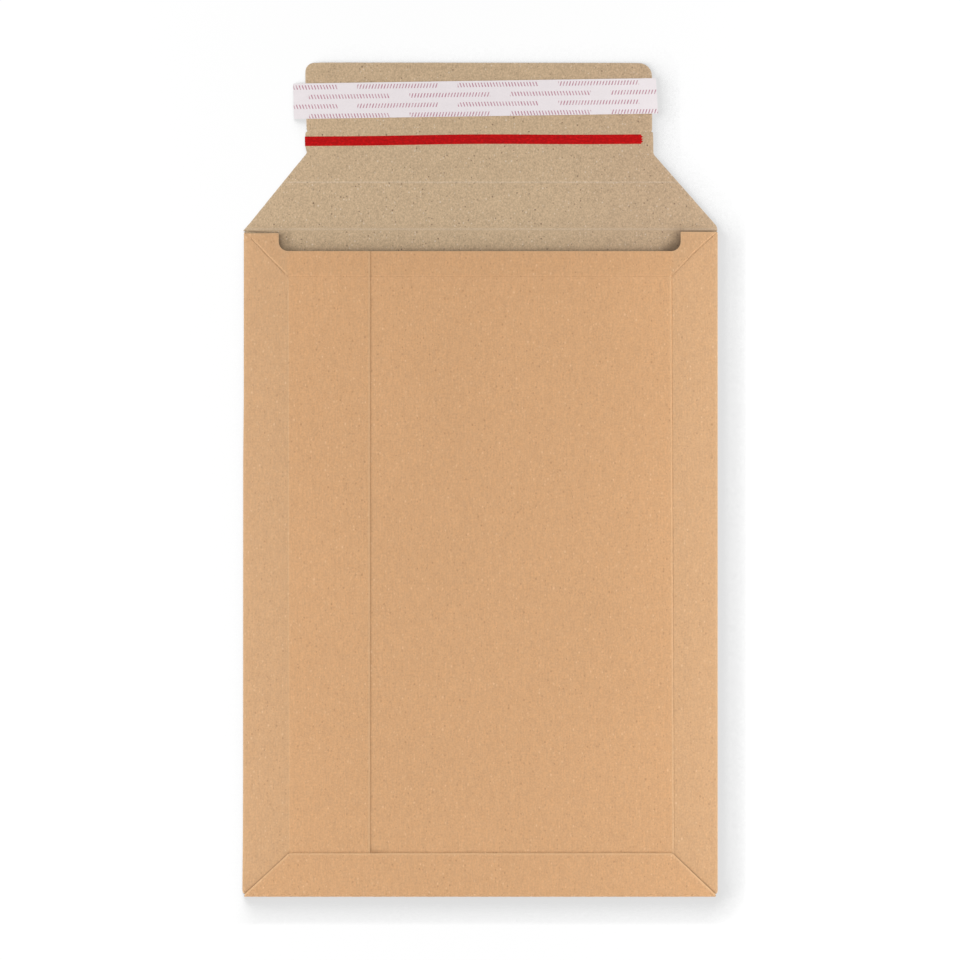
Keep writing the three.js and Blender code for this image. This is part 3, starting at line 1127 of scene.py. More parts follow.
@dataclass(frozen=True)
class Press:
    """How the board is pressed along a line, and how pale and how darkly painted it is there.

    Args:
        depth: How far it is pressed in from the outer face, or out from the inner one if negative.
        half_width: Distance from the line to where it is flat again.
        pale: How pale it is: rubbing of its fibres, and painted highlight on a lit wall or edge.
        dark: How strongly shade is painted along it, where an edge or a wall beside it casts shadow.
    """

    depth: float
    half_width: float
    pale: float = 0.0
    dark: float = 0.0


@dataclass(frozen=True)
class BandPress:
    """How the creases of one side band are pressed.

    Args:
        side: 1 for the right band, -1 for the left one.
        along: The crease along the band.
        pale: The pale line beside it, a painted highlight on the crease's lit wall.
        pale_shift: How far the pale line lies to the left of the crease.
        lean: How far the crease's lower and upper ends stray to the right of their place.
        mitre: The crease from its upper end to the shoulder.
        bow: How far that bows up.
    """

    side: int
    along: Press
    pale: Press
    pale_shift: float
    lean: Pair
    mitre: Press
    bow: float


@dataclass
class Board:
    """The die-cut board of the envelope: sleeve and closure flap in one sheet.

    The flat sheet is drawn as u across and v along, seen on its inner face.

    Args:
        glue: Gap that a glue line fills.
        length: Length of the sleeve, from the bottom fold to the flap's crease.
        band: Distance of the side bands' creases from the edges.
        top_band: Distance of the top band's crease from the shoulders' top.
        bottom_band: How far the bottom flap reaches up.
        pocket: How far the front stands off the back.
        mouth_drop: Distance of the mouth's edge from the flap's crease.
        mouth_sag: How far the front dips at the mouth's edge.
        mouth_radius: Radius of the cut-out's corners.
        notch: Where the cut-out's left and right sides are.
        shoulder_drop: Distance of the shoulders' top from the flap's crease.
        left_shoulder_drop: How much lower the left shoulder is cut.
        seam: Where the left side panel ends.
        hidden_edge: Where the right side panel ends, below the left one.
        side_radius: Inner radius of the side folds.
        bottom_radius: Inner radius of the bottom fold.
        foot: Distance of the side panels' lower ends from the bottom fold.
        corner_relief: Distance of the bottom flap's fold from the envelope's sides.
        step: Where the bottom flap starts and ends to come down from the left panel to the right one.
        kink: Height difference over which a band's crease is rounded.
        bevel: How far the knife has pressed the outer skin down at a cut edge.
        inner_bevel: How much of that the inner skin has.
        bevel_reach: Distance over which it has.
        lap_press: How far a cut edge that is glued onto a panel has been pressed thinner.
        lap_reach: Distance over which it has.
        ripple: Unevenness of the front.
        crease_ripple: Unevenness of the creases' depth.
        second_crease: Where the flap's second crease is.
        hinge_zone: Where the board bends when the flap closes.
        hinge_stretch: How much longer that zone is on the closed envelope.
        askew: How far out the left fold stands from straight, at heights above the bottom fold.
        bands: The creases of the right and the left side band.
        top_press: The crease of the top band.
        flap_press: The flap's crease.
        second_press: The flap's second crease.
        lap_rub_and_highlight: Rubbing and painted highlight along the cut edges that are glued down.
        mitre_shade: Painted shade along the bottom flap's mitres, where their edges cast shadow.
        shoulder_shade: Painted shadow under the shoulders' top, how far above that it is, and where it
            ends.
        wall_shades: Painted shade beside the mouth's left and right walls, with where it stops below the
            top.
        corner_shade: Painted shade in the mouth's right corner, with how far it reaches across and up.
        lip_shade: Painted shadow under the mouth's edge.
        dusk: Where the inner face starts to be duller to the right, and over what distance.
        painted_sheen_blur: Distance over which a band's painted sheen, a greyer tint, fades.
        wear: Distance from the middle of a side fold, and of the bottom fold, to where it isn't worn.
        flap_taper: Heights between which the flap's sides slant, and its half widths there.
        flap_outline: The closure flap's corners, anticlockwise, and how far each is rounded.
        flap_tip: Rounding of the bottom flap's corners.
        foot_tip: Rounding of the side panels' lower corners.
        mouth_tips: Rounding of the left and the right panel's upper corner.
        shoulder_tip: Rounding of the shoulders.
        foot_nick: How far out and up from the foot of the side folds the sheet is nicked, and its
            rounding.
        foot_drop: How far the side folds reach below the side panels.
        foot_rises: How far the cut across the left and the right fold's foot stands up.
        root_nick: How far out and up from the shoulders the closure flap begins.
        fold_swell: How far the ends of the bottom fold swell out.
        fold_corners: How many corners a cut has across a side fold, and across the bottom fold.
        crease_rows: Rows of points beside a crease, in its half widths.
        crease_step: Distance between points along a crease.
        side_rows: Rows of points across a side fold.
        bottom_rows: Rows of points across the bottom fold.
        hinge_rows: Rows of points across the hinge zone.
        grids: Spacing of the even points, with their least and greatest distance from any line.
        grid_spans: Where those start and end, across and along.
    """

    thick: float = 0.6
    glue: float = 0.15
    width: float = 250.0
    length: float = 352.0
    band: float = 24.0
    top_band: float = 23.4
    bottom_band: float = 23.2
    pocket: float = 5.0
    mouth_drop: float = 11.75
    mouth_sag: float = 1.3
    mouth_radius: float = 5.0
    notch: Pair = (-106.4, 105.4)
    shoulder_drop: float = 1.5
    left_shoulder_drop: float = 0.8
    seam: float = -58.35
    hidden_edge: float = -80.0
    side_radius: float = 0.1
    bottom_radius: float = 0.85
    foot: float = 1.7
    corner_relief: float = 1.3
    step: Pair = (-57.35, -46.0)
    kink: float = 0.22
    bevel: float = 0.14
    inner_bevel: float = 0.4
    bevel_reach: float = 0.8
    lap_press: float = 0.32
    lap_reach: float = 1.3
    ripple: Ripple = Ripple(0.05, 45.0, 130.0, 9, 5)
    crease_ripple: Ripple = Ripple(0.18, 6.0, 40.0, 8, 17)
    second_crease: float = 376.7
    hinge_zone: Pair = (350.8, 353.2)
    hinge_stretch: float = 5.2
    askew: tuple[Pair, ...] = (
        (0.0, 0.60),
        (8.0, 0.56),
        (32.0, 0.34),
        (60.0, 0.24),
        (230.0, 0.18),
        (262.0, -0.14),
        (352.0, -0.18),
    )
    # Each band's pale line is a painted highlight on its crease's lit wall.
    bands: tuple[BandPress, ...] = (
        BandPress(
            side=1,
            along=Press(0.23, 0.55, 0.2),
            pale=Press(0.0, 0.62, 1.0),
            pale_shift=0.55,
            lean=(0.85, -0.5),
            mitre=Press(0.40, 0.80, 0.5),
            bow=0.8,
        ),
        BandPress(
            side=-1,
            along=Press(0.09, 0.45, 0.2),
            pale=Press(0.0, 0.62, 0.8),
            pale_shift=0.0,
            lean=(0.1, -0.45),
            mitre=Press(0.34, 0.80, 0.4),
            bow=0.0,
        ),
    )
    top_press: Press = Press(0.12, 0.6)
    flap_press: Press = Press(-0.09, 0.9, 0.8)
    second_press: Press = Press(-0.10, 0.8, 1.0)
    # rubbing and painted highlight along the glued cut edges
    lap_rub_and_highlight: Press = Press(0.0, 1.3, 0.8)
    # Painted shade: the shadows of the mitres' edges, the shoulders' top and the mouth's walls, corner and
    # lip.
    mitre_shade: Press = Press(0.0, 0.85, 0.0, 1.0)
    shoulder_shade: tuple[Press, float, float] = (Press(0.0, 0.75, 0.0, 1.0), 0.4, 124.2)
    wall_shades: tuple[tuple[Press, float], ...] = (
        (Press(0.0, 3.5, 0.0, 0.8), 2.0),
        (Press(0.0, 5.2, 0.0, 0.85), 1.6),
    )
    corner_shade: tuple[Press, Pair] = (Press(0.0, 4.8, 0.0, 0.95), (8.0, 4.0))
    lip_shade: Press = Press(0.0, 3.5, 0.0, 0.25)
    dusk: Pair = (20.0, 80.0)
    # painted sheen: how softly the side bands' greyer tint fades
    painted_sheen_blur: float = 0.6
    wear: Pair = (1.6, 2.2)
    flap_taper: tuple[Pair, Pair] = ((352.0, 392.3), (124.8, 91.3))
    flap_outline: tuple[Triple, ...] = (
        (124.8, 351.0, 0.3),
        (124.7, 353.3, 1.4),
        (91.1, 391.5, 1.2),
        (90.9, 402.8, 0.3),
        (89.9, 403.5, 0.12),
        (90.4, 404.3, 0.4),
        (90.3, 439.4, 6.6),
        (75.7, 439.6, 3.0),
        (-81.9, 439.8, 3.0),
        (-92.2, 439.5, 4.3),
        (-92.4, 432.6, 1.0),
        (-91.8, 408.5, 2.0),
        (-91.7, 404.4, 0.3),
        (-91.2, 403.7, 0.12),
        (-92.3, 402.8, 0.3),
        (-92.4, 395.6, 0.8),
        (-91.5, 392.2, 0.9),
        (-121.9, 355.0, 1.0),
        (-125.3, 351.2, 0.15),
    )
    flap_tip: float = 0.9
    foot_tip: float = 0.5
    mouth_tips: Pair = (0.4, 0.5)
    shoulder_tip: float = 0.6
    foot_nick: Triple = (0.2, -0.15, 0.05)
    foot_drop: float = 0.1
    foot_rises: Pair = (1.0, 0.7)
    root_nick: Pair = (0.02, 0.2)
    fold_swell: float = 0.3
    fold_corners: tuple[int, int] = (9, 17)
    crease_rows: tuple[float, ...] = (-1.4, -1.0, -0.65, -0.33, 0.0, 0.33, 0.65, 1.0, 1.4)
    crease_step: float = 2.6
    side_rows: Rows = Rows(-0.9, 1.9, 23, 4.0)
    bottom_rows: Rows = Rows(0.5, -1.5, 25, 4.0)
    hinge_rows: Rows = Rows(-0.1, 1.1, 31, 3.0)
    grids: tuple[Triple, ...] = ((2.8, 1.7, 5.0), (6.0, 5.0, math.inf))
    grid_spans: tuple[Pair, Pair] = ((-200.0, 335.0), (-26.0, 442.0))

    def __post_init__(self) -> None:
        """Works out the heights of the front's layers and where the folds are."""
        self.right_front = self.thick + self.pocket
        self.left_front = self.right_front + self.thick + self.glue
        self.side_foot = self.thick + 2.0 * self.side_radius
        self.left_foot = self.side_foot + self.thick + self.glue
        self.flap_foot = self.thick + 2.0 * self.bottom_radius
        self.side_outer = self.side_radius + self.thick
        self.bottom_outer = self.bottom_radius + self.thick
        self.flat_half = self.width / 2.0 - self.side_outer
        self.bottom_half = self.width / 2.0 - self.corner_relief
        self.crease_x = self.width / 2.0 - self.band
        self.shoulder = self.length - self.shoulder_drop
        self.low_shoulder = self.shoulder - self.left_shoulder_drop
        self.crease_top = self.shoulder - self.top_band
        self.mouth = self.length - self.mouth_drop
        self.side_bend = math.pi * (self.side_radius + self.thick / 2.0)
        self.bottom_bend = math.pi * (self.bottom_radius + self.thick / 2.0)
        self.bend_end = self.bottom_outer - self.bottom_bend
        self.free_edge = self.bend_end - (self.bottom_band - self.bottom_outer)
        self.free_ends = (self.seam, self.hidden_edge)
        self.tops = (self.low_shoulder, self.shoulder)

    # How the sheet is folded

    def panel(self, side: int, x: float) -> float:
        """The flat sheet's u where it comes to lie at x on the right (1) or left (-1) side panel."""
        return side * (2.0 * self.flat_half + self.side_bend - side * x)

    def front_under(self, x: np.ndarray, y: np.ndarray, middle: float, foot: float) -> np.ndarray:
        """Underside of a front panel: a flat middle and a band that slopes down along each edge.

        Args:
            x: Places across.
            y: Places along.
            middle: Height of the flat middle.
            foot: Height at the bottom fold.

        Returns:
            The height at each place.
        """
        out = np.abs(x)
        side = ramp(out, self.crease_x, middle, self.flat_half, self.side_foot)
        at_corner = ramp(out, self.crease_x, foot, self.flat_half, self.side_foot)
        bottom_foot = np.where(out > self.crease_x, at_corner, foot)
        bottom = ramp(y, self.foot, bottom_foot, self.bottom_band, middle)
        lip = self.mouth - self.crease_top
        drop = middle - self.side_foot - self.mouth_sag * self.band / lip
        fall = drop / (self.flat_half - self.crease_x)
        past = np.maximum(0.0, out - self.crease_x)
        top = middle - self.mouth_sag * (y - self.crease_top) / lip - fall * past
        height = soft_min(np.full_like(x, middle), side, self.kink)
        height = soft_min(height, bottom, self.kink)
        return soft_min(height, top, self.kink / 2.0)

    def flap_under(self, x: np.ndarray, y: np.ndarray) -> np.ndarray:
        """Underside of the bottom flap, which steps down from the left panel to the right one.

        Args:
            x: Places across.
            y: Places along.

        Returns:
            The height at each place.
        """
        on_left = self.left_front + self.thick + self.glue
        on_right = self.right_front + self.thick + self.glue
        start, end = self.step
        top = on_left + (on_right - on_left) * smooth((x - start) / (end - start))
        return ramp(y, self.bottom_outer, self.flap_foot, self.bottom_band, top)

    def unevenness(self, x: np.ndarray, y: np.ndarray) -> np.ndarray:
        """How far the front strays from flat, fading out towards the folds."""
        fade = smooth((self.width / 2.0 - np.abs(x)) / self.band) * smooth(y / self.band)
        return self.ripple.at(x, y) * fade

    def fold(self, flat: Points) -> Skins:
        """Folds the flat sheet.

        Args:
            flat: u and v of each point.

        Returns:
            The outer and the inner skin's points.
        """
        u, v = flat[:, 0], flat[:, 1]
        side = np.where(u < 0.0, -1.0, 1.0)
        outer = np.stack([u, v, np.zeros_like(u)], 1)
        inner = np.stack([u, v, np.full_like(u, self.thick)], 1)

        below = v < self.bottom_outer
        past = self.bottom_outer - v
        bend = below & (past <= self.bottom_bend)
        angle = math.pi * (past / self.bottom_bend - 0.5)
        for skin, radius in ((outer, self.bottom_outer), (inner, self.bottom_radius)):
            skin[bend, 1] = (self.bottom_outer - radius * np.cos(angle))[bend]
            skin[bend, 2] = (self.bottom_outer + radius * np.sin(angle))[bend]
        over = below & ~bend
        y = self.bottom_outer + past - self.bottom_bend
        under = self.flap_under(u, y) + self.unevenness(u, y)
        outer[over, 1] = inner[over, 1] = y[over]
        inner[over, 2], outer[over, 2] = under[over], under[over] + self.thick

        beside = ~below & (np.abs(u) > self.flat_half) & (v < self.shoulder + 0.5 * self.bevel)
        past = np.abs(u) - self.flat_half
        bend = beside & (past <= self.side_bend)
        angle = math.pi * (past / self.side_bend - 0.5)
        for skin, radius in ((outer, self.side_outer), (inner, self.side_radius)):
            skin[bend, 0] = (side * (self.flat_half + radius * np.cos(angle)))[bend]
            skin[bend, 2] = (self.side_outer + radius * np.sin(angle))[bend]
        over = beside & ~bend
        x = side * (self.flat_half + self.side_bend - past)
        right = self.front_under(x, v, self.right_front, self.side_foot)
        left = self.front_under(x, v, self.left_front, self.left_foot)
        under = np.where(side > 0.0, right, left) + self.unevenness(x, v)
        outer[over, 0] = inner[over, 0] = x[over]
        inner[over, 2], outer[over, 2] = under[over], under[over] + self.thick
        return outer, inner

    def place(self, flat: Points, gap: np.ndarray) -> Skins:
        """Folds the sheet, presses its creases in and bevels its cut edges.

        Args:
            flat: u and v of each point.
            gap: Distance of each point from the cut edge.

        Returns:
            The outer and the inner skin's points.
        """
        outer, inner = self.fold(flat)
        inwards = (inner - outer) / self.thick
        pressed = self.pressed(flat)
        knife = self.bevel * (1.0 - smooth(gap / self.bevel_reach))
        lapped = segment_distance(flat, np.array(self.laps())).min(1)
        thinner = np.maximum(knife, self.lap_press * (1.0 - smooth(lapped / self.lap_reach)))
        outer = outer + inwards * (pressed + thinner)[:, None]
        inner = inner + inwards * (pressed - self.inner_bevel * knife)[:, None]
        heights, offsets = np.array(self.askew).T
        for skin in (outer, inner):
            share = smooth((-skin[:, 0] - self.crease_x) / self.band)
            skin[:, 0] -= share * np.interp(skin[:, 1], heights, offsets)
        return outer, inner

    # Creases

    def laps(self) -> list[Line]:
        """The cut edges that lie glued on a panel: the seam, and the bottom flap's free edge and mitres."""
        seam = self.panel(-1, self.seam)
        return [
            (seam, self.foot, seam, self.mouth),
            (-self.crease_x, self.free_edge, self.crease_x, self.free_edge),
            (self.crease_x, self.free_edge, self.bottom_half, self.bend_end),
            (-self.crease_x, self.free_edge, -self.bottom_half, self.bend_end),
        ]

    def band_creases(self, press: BandPress) -> list[tuple[Line, Press]]:
        """The creases, pale lines and painted shade of one side band.

        Args:
            press: How they are pressed.

        Returns:
            Each one's line on the flat sheet and how it is pressed.
        """
        side = press.side
        at = (side + 1) // 2
        shade, lift, end = self.shoulder_shade
        low, high = (self.panel(side, side * self.crease_x + off) for off in press.lean)
        pale = [self.panel(side, side * self.crease_x + off - press.pale_shift) for off in press.lean]
        edge = self.panel(side, side * self.crease_x)
        fold = self.panel(side, side * self.flat_half)
        middle = (high + fold) / 2.0
        halfway = (self.crease_top + self.shoulder) / 2.0 + press.bow
        foot = self.panel(side, side * self.bottom_half)
        free = self.panel(side, self.free_ends[at])
        wall = self.notch[at] + self.shoulder_tip * side
        return [
            ((low, self.bottom_band, high, self.crease_top), press.along),
            # the pale line: painted highlight on the crease's lit wall
            ((pale[0], self.bottom_band, pale[1], self.crease_top), press.pale),
            ((edge, self.crease_top, free, self.crease_top), self.top_press),
            ((high, self.crease_top, middle, halfway), press.mitre),
            ((middle, halfway, fold, self.shoulder), press.mitre),
            # painted shade along the mitre's edge, and painted shadow beside the shoulder's top
            ((edge, self.bottom_band, foot, self.bottom_outer), self.mitre_shade),
            ((wall, self.tops[at] + lift, side * end, self.shoulder + lift), shade),
        ]

    @cached_property
    def creases(self) -> list[tuple[Line, Press]]:
        """The creases, pale lines and lines of painted shade of the sheet.

        Returns:
            Each one's line on the flat sheet and how it is pressed.
        """
        found = [crease for press in self.bands for crease in self.band_creases(press)]
        taper_v, taper_half = self.flap_taper
        half = float(np.interp(self.second_crease, taper_v, taper_half))
        found += [
            ((-self.flat_half, self.length, self.flat_half, self.length), self.flap_press),
            ((-half, self.second_crease, half, self.second_crease), self.second_press),
        ]
        found += [(line, self.lap_rub_and_highlight) for line in self.laps()]
        left, right = self.notch
        (left_shade, left_stop), (right_shade, right_stop) = self.wall_shades
        corner_shade, (across, up) = self.corner_shade
        # Painted shadow on the inner face beside the mouth's walls, in its right corner and under its lip.
        return found + [
            ((right, self.mouth, right, self.shoulder - right_stop), right_shade),
            ((right - across, self.mouth, right, self.mouth + up), corner_shade),
            ((left, self.mouth, left, self.low_shoulder - left_stop), left_shade),
            ((left, self.mouth, right, self.mouth), self.lip_shade),
        ]

    def in_crease(self, flat: Points) -> np.ndarray:
        """How deep each point lies in each crease, from 0 to 1."""
        distance = segment_distance(flat, np.array([line for line, _ in self.creases]))
        return 1.0 - smooth(distance / np.array([press.half_width for _, press in self.creases]))

    def pressed(self, flat: Points) -> np.ndarray:
        """How far the creases press each point of the sheet inwards.

        Args:
            flat: u and v of each point.

        Returns:
            The depth at each point.
        """
        depth = np.array([press.depth for _, press in self.creases])
        uneven = 1.0 + self.crease_ripple.at(flat[:, 0], flat[:, 1])
        return np.clip((self.in_crease(flat) * depth).sum(1) * uneven, depth.min(), depth.max())

    def crease_mark(self, flat: Points) -> np.ndarray:
        """How pale each point is at creases and glued cut edges, from 0 to 1: rubbing and painted
        highlight.
        """
        return (self.in_crease(flat) * np.array([press.pale for _, press in self.creases])).max(1)

    def painted_shade_mark(self, flat: Points) -> np.ndarray:
        """How strongly painted shade darkens each point, from 0 to 1, where an edge or a wall casts shadow.
        """
        return (self.in_crease(flat) * np.array([press.dark for _, press in self.creases])).max(1)

    def dusk_mark(self, flat: Points) -> np.ndarray:
        """How much each point lies towards the right, where the inner face is duller, from 0 to 1."""
        return smooth((flat[:, 0] - self.dusk[0]) / self.dusk[1])

    def painted_sheen_mark(self, flat: Points) -> np.ndarray:
        """Whether each point lies on a side band, which gets a painted sheen, from 0 to 1."""
        past = (np.abs(flat[:, 0]) - self.flat_half) / self.painted_sheen_blur
        left = (self.panel(1, self.crease_x) - np.abs(flat[:, 0])) / self.painted_sheen_blur
        return smooth(past) * smooth(left + 0.5)

    def worn_mark(self, flat: Points) -> np.ndarray:
        """How much each point lies on the ridge of a fold, from 0 to 1.

        Args:
            flat: u and v of each point.

        Returns:
            The share at each point.
        """
        side = np.abs(np.abs(flat[:, 0]) - self.flat_half - 0.5 * self.side_bend)
        side = np.where(flat[:, 1] < self.shoulder, side, self.width)
        bottom = np.abs(flat[:, 1] - self.bottom_outer + 0.5 * self.bottom_bend)
        return np.maximum(1.0 - smooth(side / self.wear[0]), 1.0 - smooth(bottom / self.wear[1]))

    # The flat sheet

    def corners(self) -> Points:
        """The cut-out's edge, from the bottom flap's right corner, anticlockwise."""
        return rounded([*self.side_edge(1), *self.flap_outline, *reversed(self.side_edge(-1))])

    def side_edge(self, side: int) -> list[Triple]:
        """Corners of the outline up one side, from the bottom flap to the closure flap.

        Args:
            side: 1 for the right side, -1 for the left one.

        Returns:
            The corners.
        """
        at = (side + 1) // 2
        free, notch = self.panel(side, self.free_ends[at]), self.panel(side, self.notch[at])
        out, up, tip = self.foot_nick
        cut = self.foot - self.foot_drop
        return [
            (side * self.crease_x, self.free_edge, self.flap_tip),
            *self.bottom_fold_end(side),
            (side * (self.bottom_half + out), self.foot + up, tip),
            *self.across_fold(side, cut, cut, self.foot_rises[at]),
            (free, self.foot, self.foot_tip),
            (free, self.mouth, self.mouth_tips[at]),
            (notch, self.mouth, self.mouth_radius),
            (notch, self.tops[at], self.shoulder_tip),
            *reversed(self.across_fold(side, self.shoulder, self.tops[at], 0.0)),
            (side * (self.flat_half + self.root_nick[0]), self.shoulder + self.root_nick[1], 0.0),
        ]

    def across_fold(self, side: int, start: float, end: float, rise: float) -> list[Triple]:
        """Corners where a cut crosses a side fold, from the back panel to the side panel.

        Args:
            side: 1 for the right fold, -1 for the left one.
            start: v where the fold begins.
            end: v where it ends.
            rise: How far the cut stands up between them.

        Returns:
            The corners.
        """
        shares = np.linspace(0.0, 1.0, self.fold_corners[0])
        u = side * (self.flat_half + shares * self.side_bend)
        v = start + (end - start) * shares + rise * np.sin(math.pi * shares)
        return [(across, along, 0.0) for across, along in zip(u, v)]

    def bottom_fold_end(self, side: int) -> list[Triple]:
        """Corners at an end of the bottom fold, from the bottom flap to the back panel.

        Args:
            side: 1 for the right end, -1 for the left one.

        Returns:
            The corners.
        """
        shares = np.linspace(0.0, 1.0, self.fold_corners[1])
        u = side * (self.bottom_half + self.fold_swell * np.sin(math.pi * shares))
        v = self.bend_end + self.bottom_bend * shares
        return [(across, along, 0.0) for across, along in zip(u, v)]

    def layout(self) -> Points:
        """Points that the mesh needs: fine along creases, folds and the hinge, coarse elsewhere.

        Returns:
            The points on the flat sheet, before those outside it are left out.
        """
        shares = np.array(self.crease_rows)
        rows = [lattice(line, shares * press.half_width, self.crease_step) for line, press in self.creases]
        features = [line for line, _ in self.creases]
        side, foot, top = self.flat_half, self.foot, self.shoulder
        corner, bend = self.bottom_half, self.bottom_outer
        half, (low, high) = self.width / 2.0, self.hinge_zone
        for line, beside, unit in (
            ((-side, foot, -side, top), self.side_rows, self.side_bend),
            ((side, foot, side, top), self.side_rows, -self.side_bend),
            ((-corner, bend, corner, bend), self.bottom_rows, self.bottom_bend),
            ((-half, low, half, low), self.hinge_rows, high - low),
        ):
            rows.append(beside.beside(line, unit))
            features.append(line)

        segments = np.array(features)
        edge = self.corners()
        edge = np.concatenate([edge, np.roll(edge, -1, axis=0)], 1)
        for step, nearest, farthest in self.grids:
            spans = (np.arange(*span, step) for span in self.grid_spans)
            grid = np.stack(np.meshgrid(*spans, indexing="ij"), 2)
            grid[::2, :, 1] += step / 2.0
            grid = grid.reshape(-1, 2)
            far = np.minimum(nearest_distance(grid, segments), nearest_distance(grid, edge))
            rows.append(grid[(far > nearest) & (far <= farthest)])
        return np.concatenate(rows)

    def grain(self, flat: Points) -> Points:
        """Coordinates for the finish, which allow for the hinge zone's stretch when it bends."""
        low, high = self.hinge_zone
        v = flat[:, 1]
        extra = (np.clip(v, low, high) - low) * (self.hinge_stretch - 1.0)
        return np.stack([flat[:, 0], v + extra, np.zeros_like(v)], 1)

    def build(self) -> bpy.types.Object:
        """Builds and dresses the board.

        Returns:
            The piece.
        """
        # Masks: pale rubbing with painted highlight at creases, painted shade, a painted sheen on the side
        # bands, and darker to the right.
        marks = {
            "crease": self.crease_mark,
            "painted_shade": self.painted_shade_mark,
            "worn": self.worn_mark,
            "painted_sheen": self.painted_sheen_mark,
            "dusk": self.dusk_mark,
        }
        sheet = SheetMesh("board", self.corners(), self.layout(), self.place, self.grain, marks=marks)
        piece = sheet.build()
        for finish in (KRAFT_FACE, GREY_FACE, CutEdge()):
            piece.data.materials.append(finish.material())
        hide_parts("folded_sleeve", "closure_flap")
        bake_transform(piece)
        return piece


@dataclass
class TearTape:
    """The red tear tape on the flap's inner face, one end past the flap and the other pinked.

    Args:
        left: Where its left end is.
        right: Where its right end is.
        middle: Its height above the bottom fold.
        above: Height of its underside.
        tilt: How far it is turned, in degrees.
        bow: How far its middle bows up.
        bow_middle: Where it bows most.
        bow_reach: Distance from there to where it is straight again.
        slant: How far the lower corner of its left end is cut back.
        teeth: How many teeth its right end has.
        tooth: Their depth.
        wave: Unevenness of its surface.
        wave_stretch: How many times finer that is across the tape than along it.
        edge_drop: Share of its thickness by which its edges are lower.
        edge_reach: Distance over which they are.
        step: Distance between points along it.
        rows: How far the outermost rows of points are from its middle, and how many rows there are.
    """

    left: float = -92.7
    right: float = 85.7
    middle: float = 398.87
    width: float = 5.0
    thick: float = 0.08
    above: float = 0.62
    tilt: float = 0.37
    bow: float = 0.54
    bow_middle: float = -4.0
    bow_reach: float = 66.0
    slant: float = 0.1
    teeth: int = 4
    tooth: float = 1.0
    wave: Ripple = Ripple(0.008, 8.0, 40.0, 8, 23)
    wave_stretch: float = 3.0
    edge_drop: float = 0.25
    edge_reach: float = 0.3
    step: float = 1.6
    rows: tuple[float, int] = (2.0, 5)

    def corners(self) -> Points:
        """The tape's outline before it is turned, anticlockwise."""
        half, root = 0.5 * self.width, self.right - self.tooth
        across = [self.width * step / (2.0 * self.teeth) - half for step in range(1, 2 * self.teeth)]
        pinked = [(self.right if step % 2 else root, y) for step, y in enumerate(across)]
        ends = [(self.left + self.slant, -half), (root, -half)]
        return np.array(ends + pinked + [(root, half), (self.left, half)])

    def place(self, flat: Points, gap: np.ndarray) -> Skins:
        """Lays the tape on the flap.

        Args:
            flat: Points along and across the tape.
            gap: Distance of each point from the cut edge.

        Returns:
            The points of its underside and of its upper face.
        """
        x, y = turned(flat, self.tilt, (0.0, self.middle))
        y += self.bow * smooth(1.0 - np.abs(x - self.bow_middle) / self.bow_reach)
        lower = np.stack([x, y, np.full_like(x, self.above)], 1)
        lowered = self.edge_drop * self.thick * (1.0 - smooth(gap / self.edge_reach))
        upper = lower + (0.0, 0.0, self.thick)
        upper[:, 2] += self.wave.at(x, self.wave_stretch * y) - lowered
        return lower, upper

    def grain(self, flat: Points) -> Points:
        """Places along and across the tape."""
        return np.stack([flat[:, 0], flat[:, 1], np.zeros(len(flat))], 1)

    def build(self) -> bpy.types.Object:
        """Builds and dresses the tape.

        Returns:
            The piece.
        """
        half, count = self.rows
        along = np.arange(self.left, self.right, self.step)
        points = np.stack(np.meshgrid(along, np.linspace(-half, half, count)), 2).reshape(-1, 2)
        sheet = SheetMesh(
            "tear_tape",
            self.corners(),
            points,
            self.place,
            self.grain,
            roughness=0.01,
            rows_inside=(0.2, 0.45),
            edge_rows=1,
        )
        piece = sheet.build()
        for _ in Skin:
            piece.data.materials.append(RedTape().material())
        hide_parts("tear_strip")
        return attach(piece, "flap")


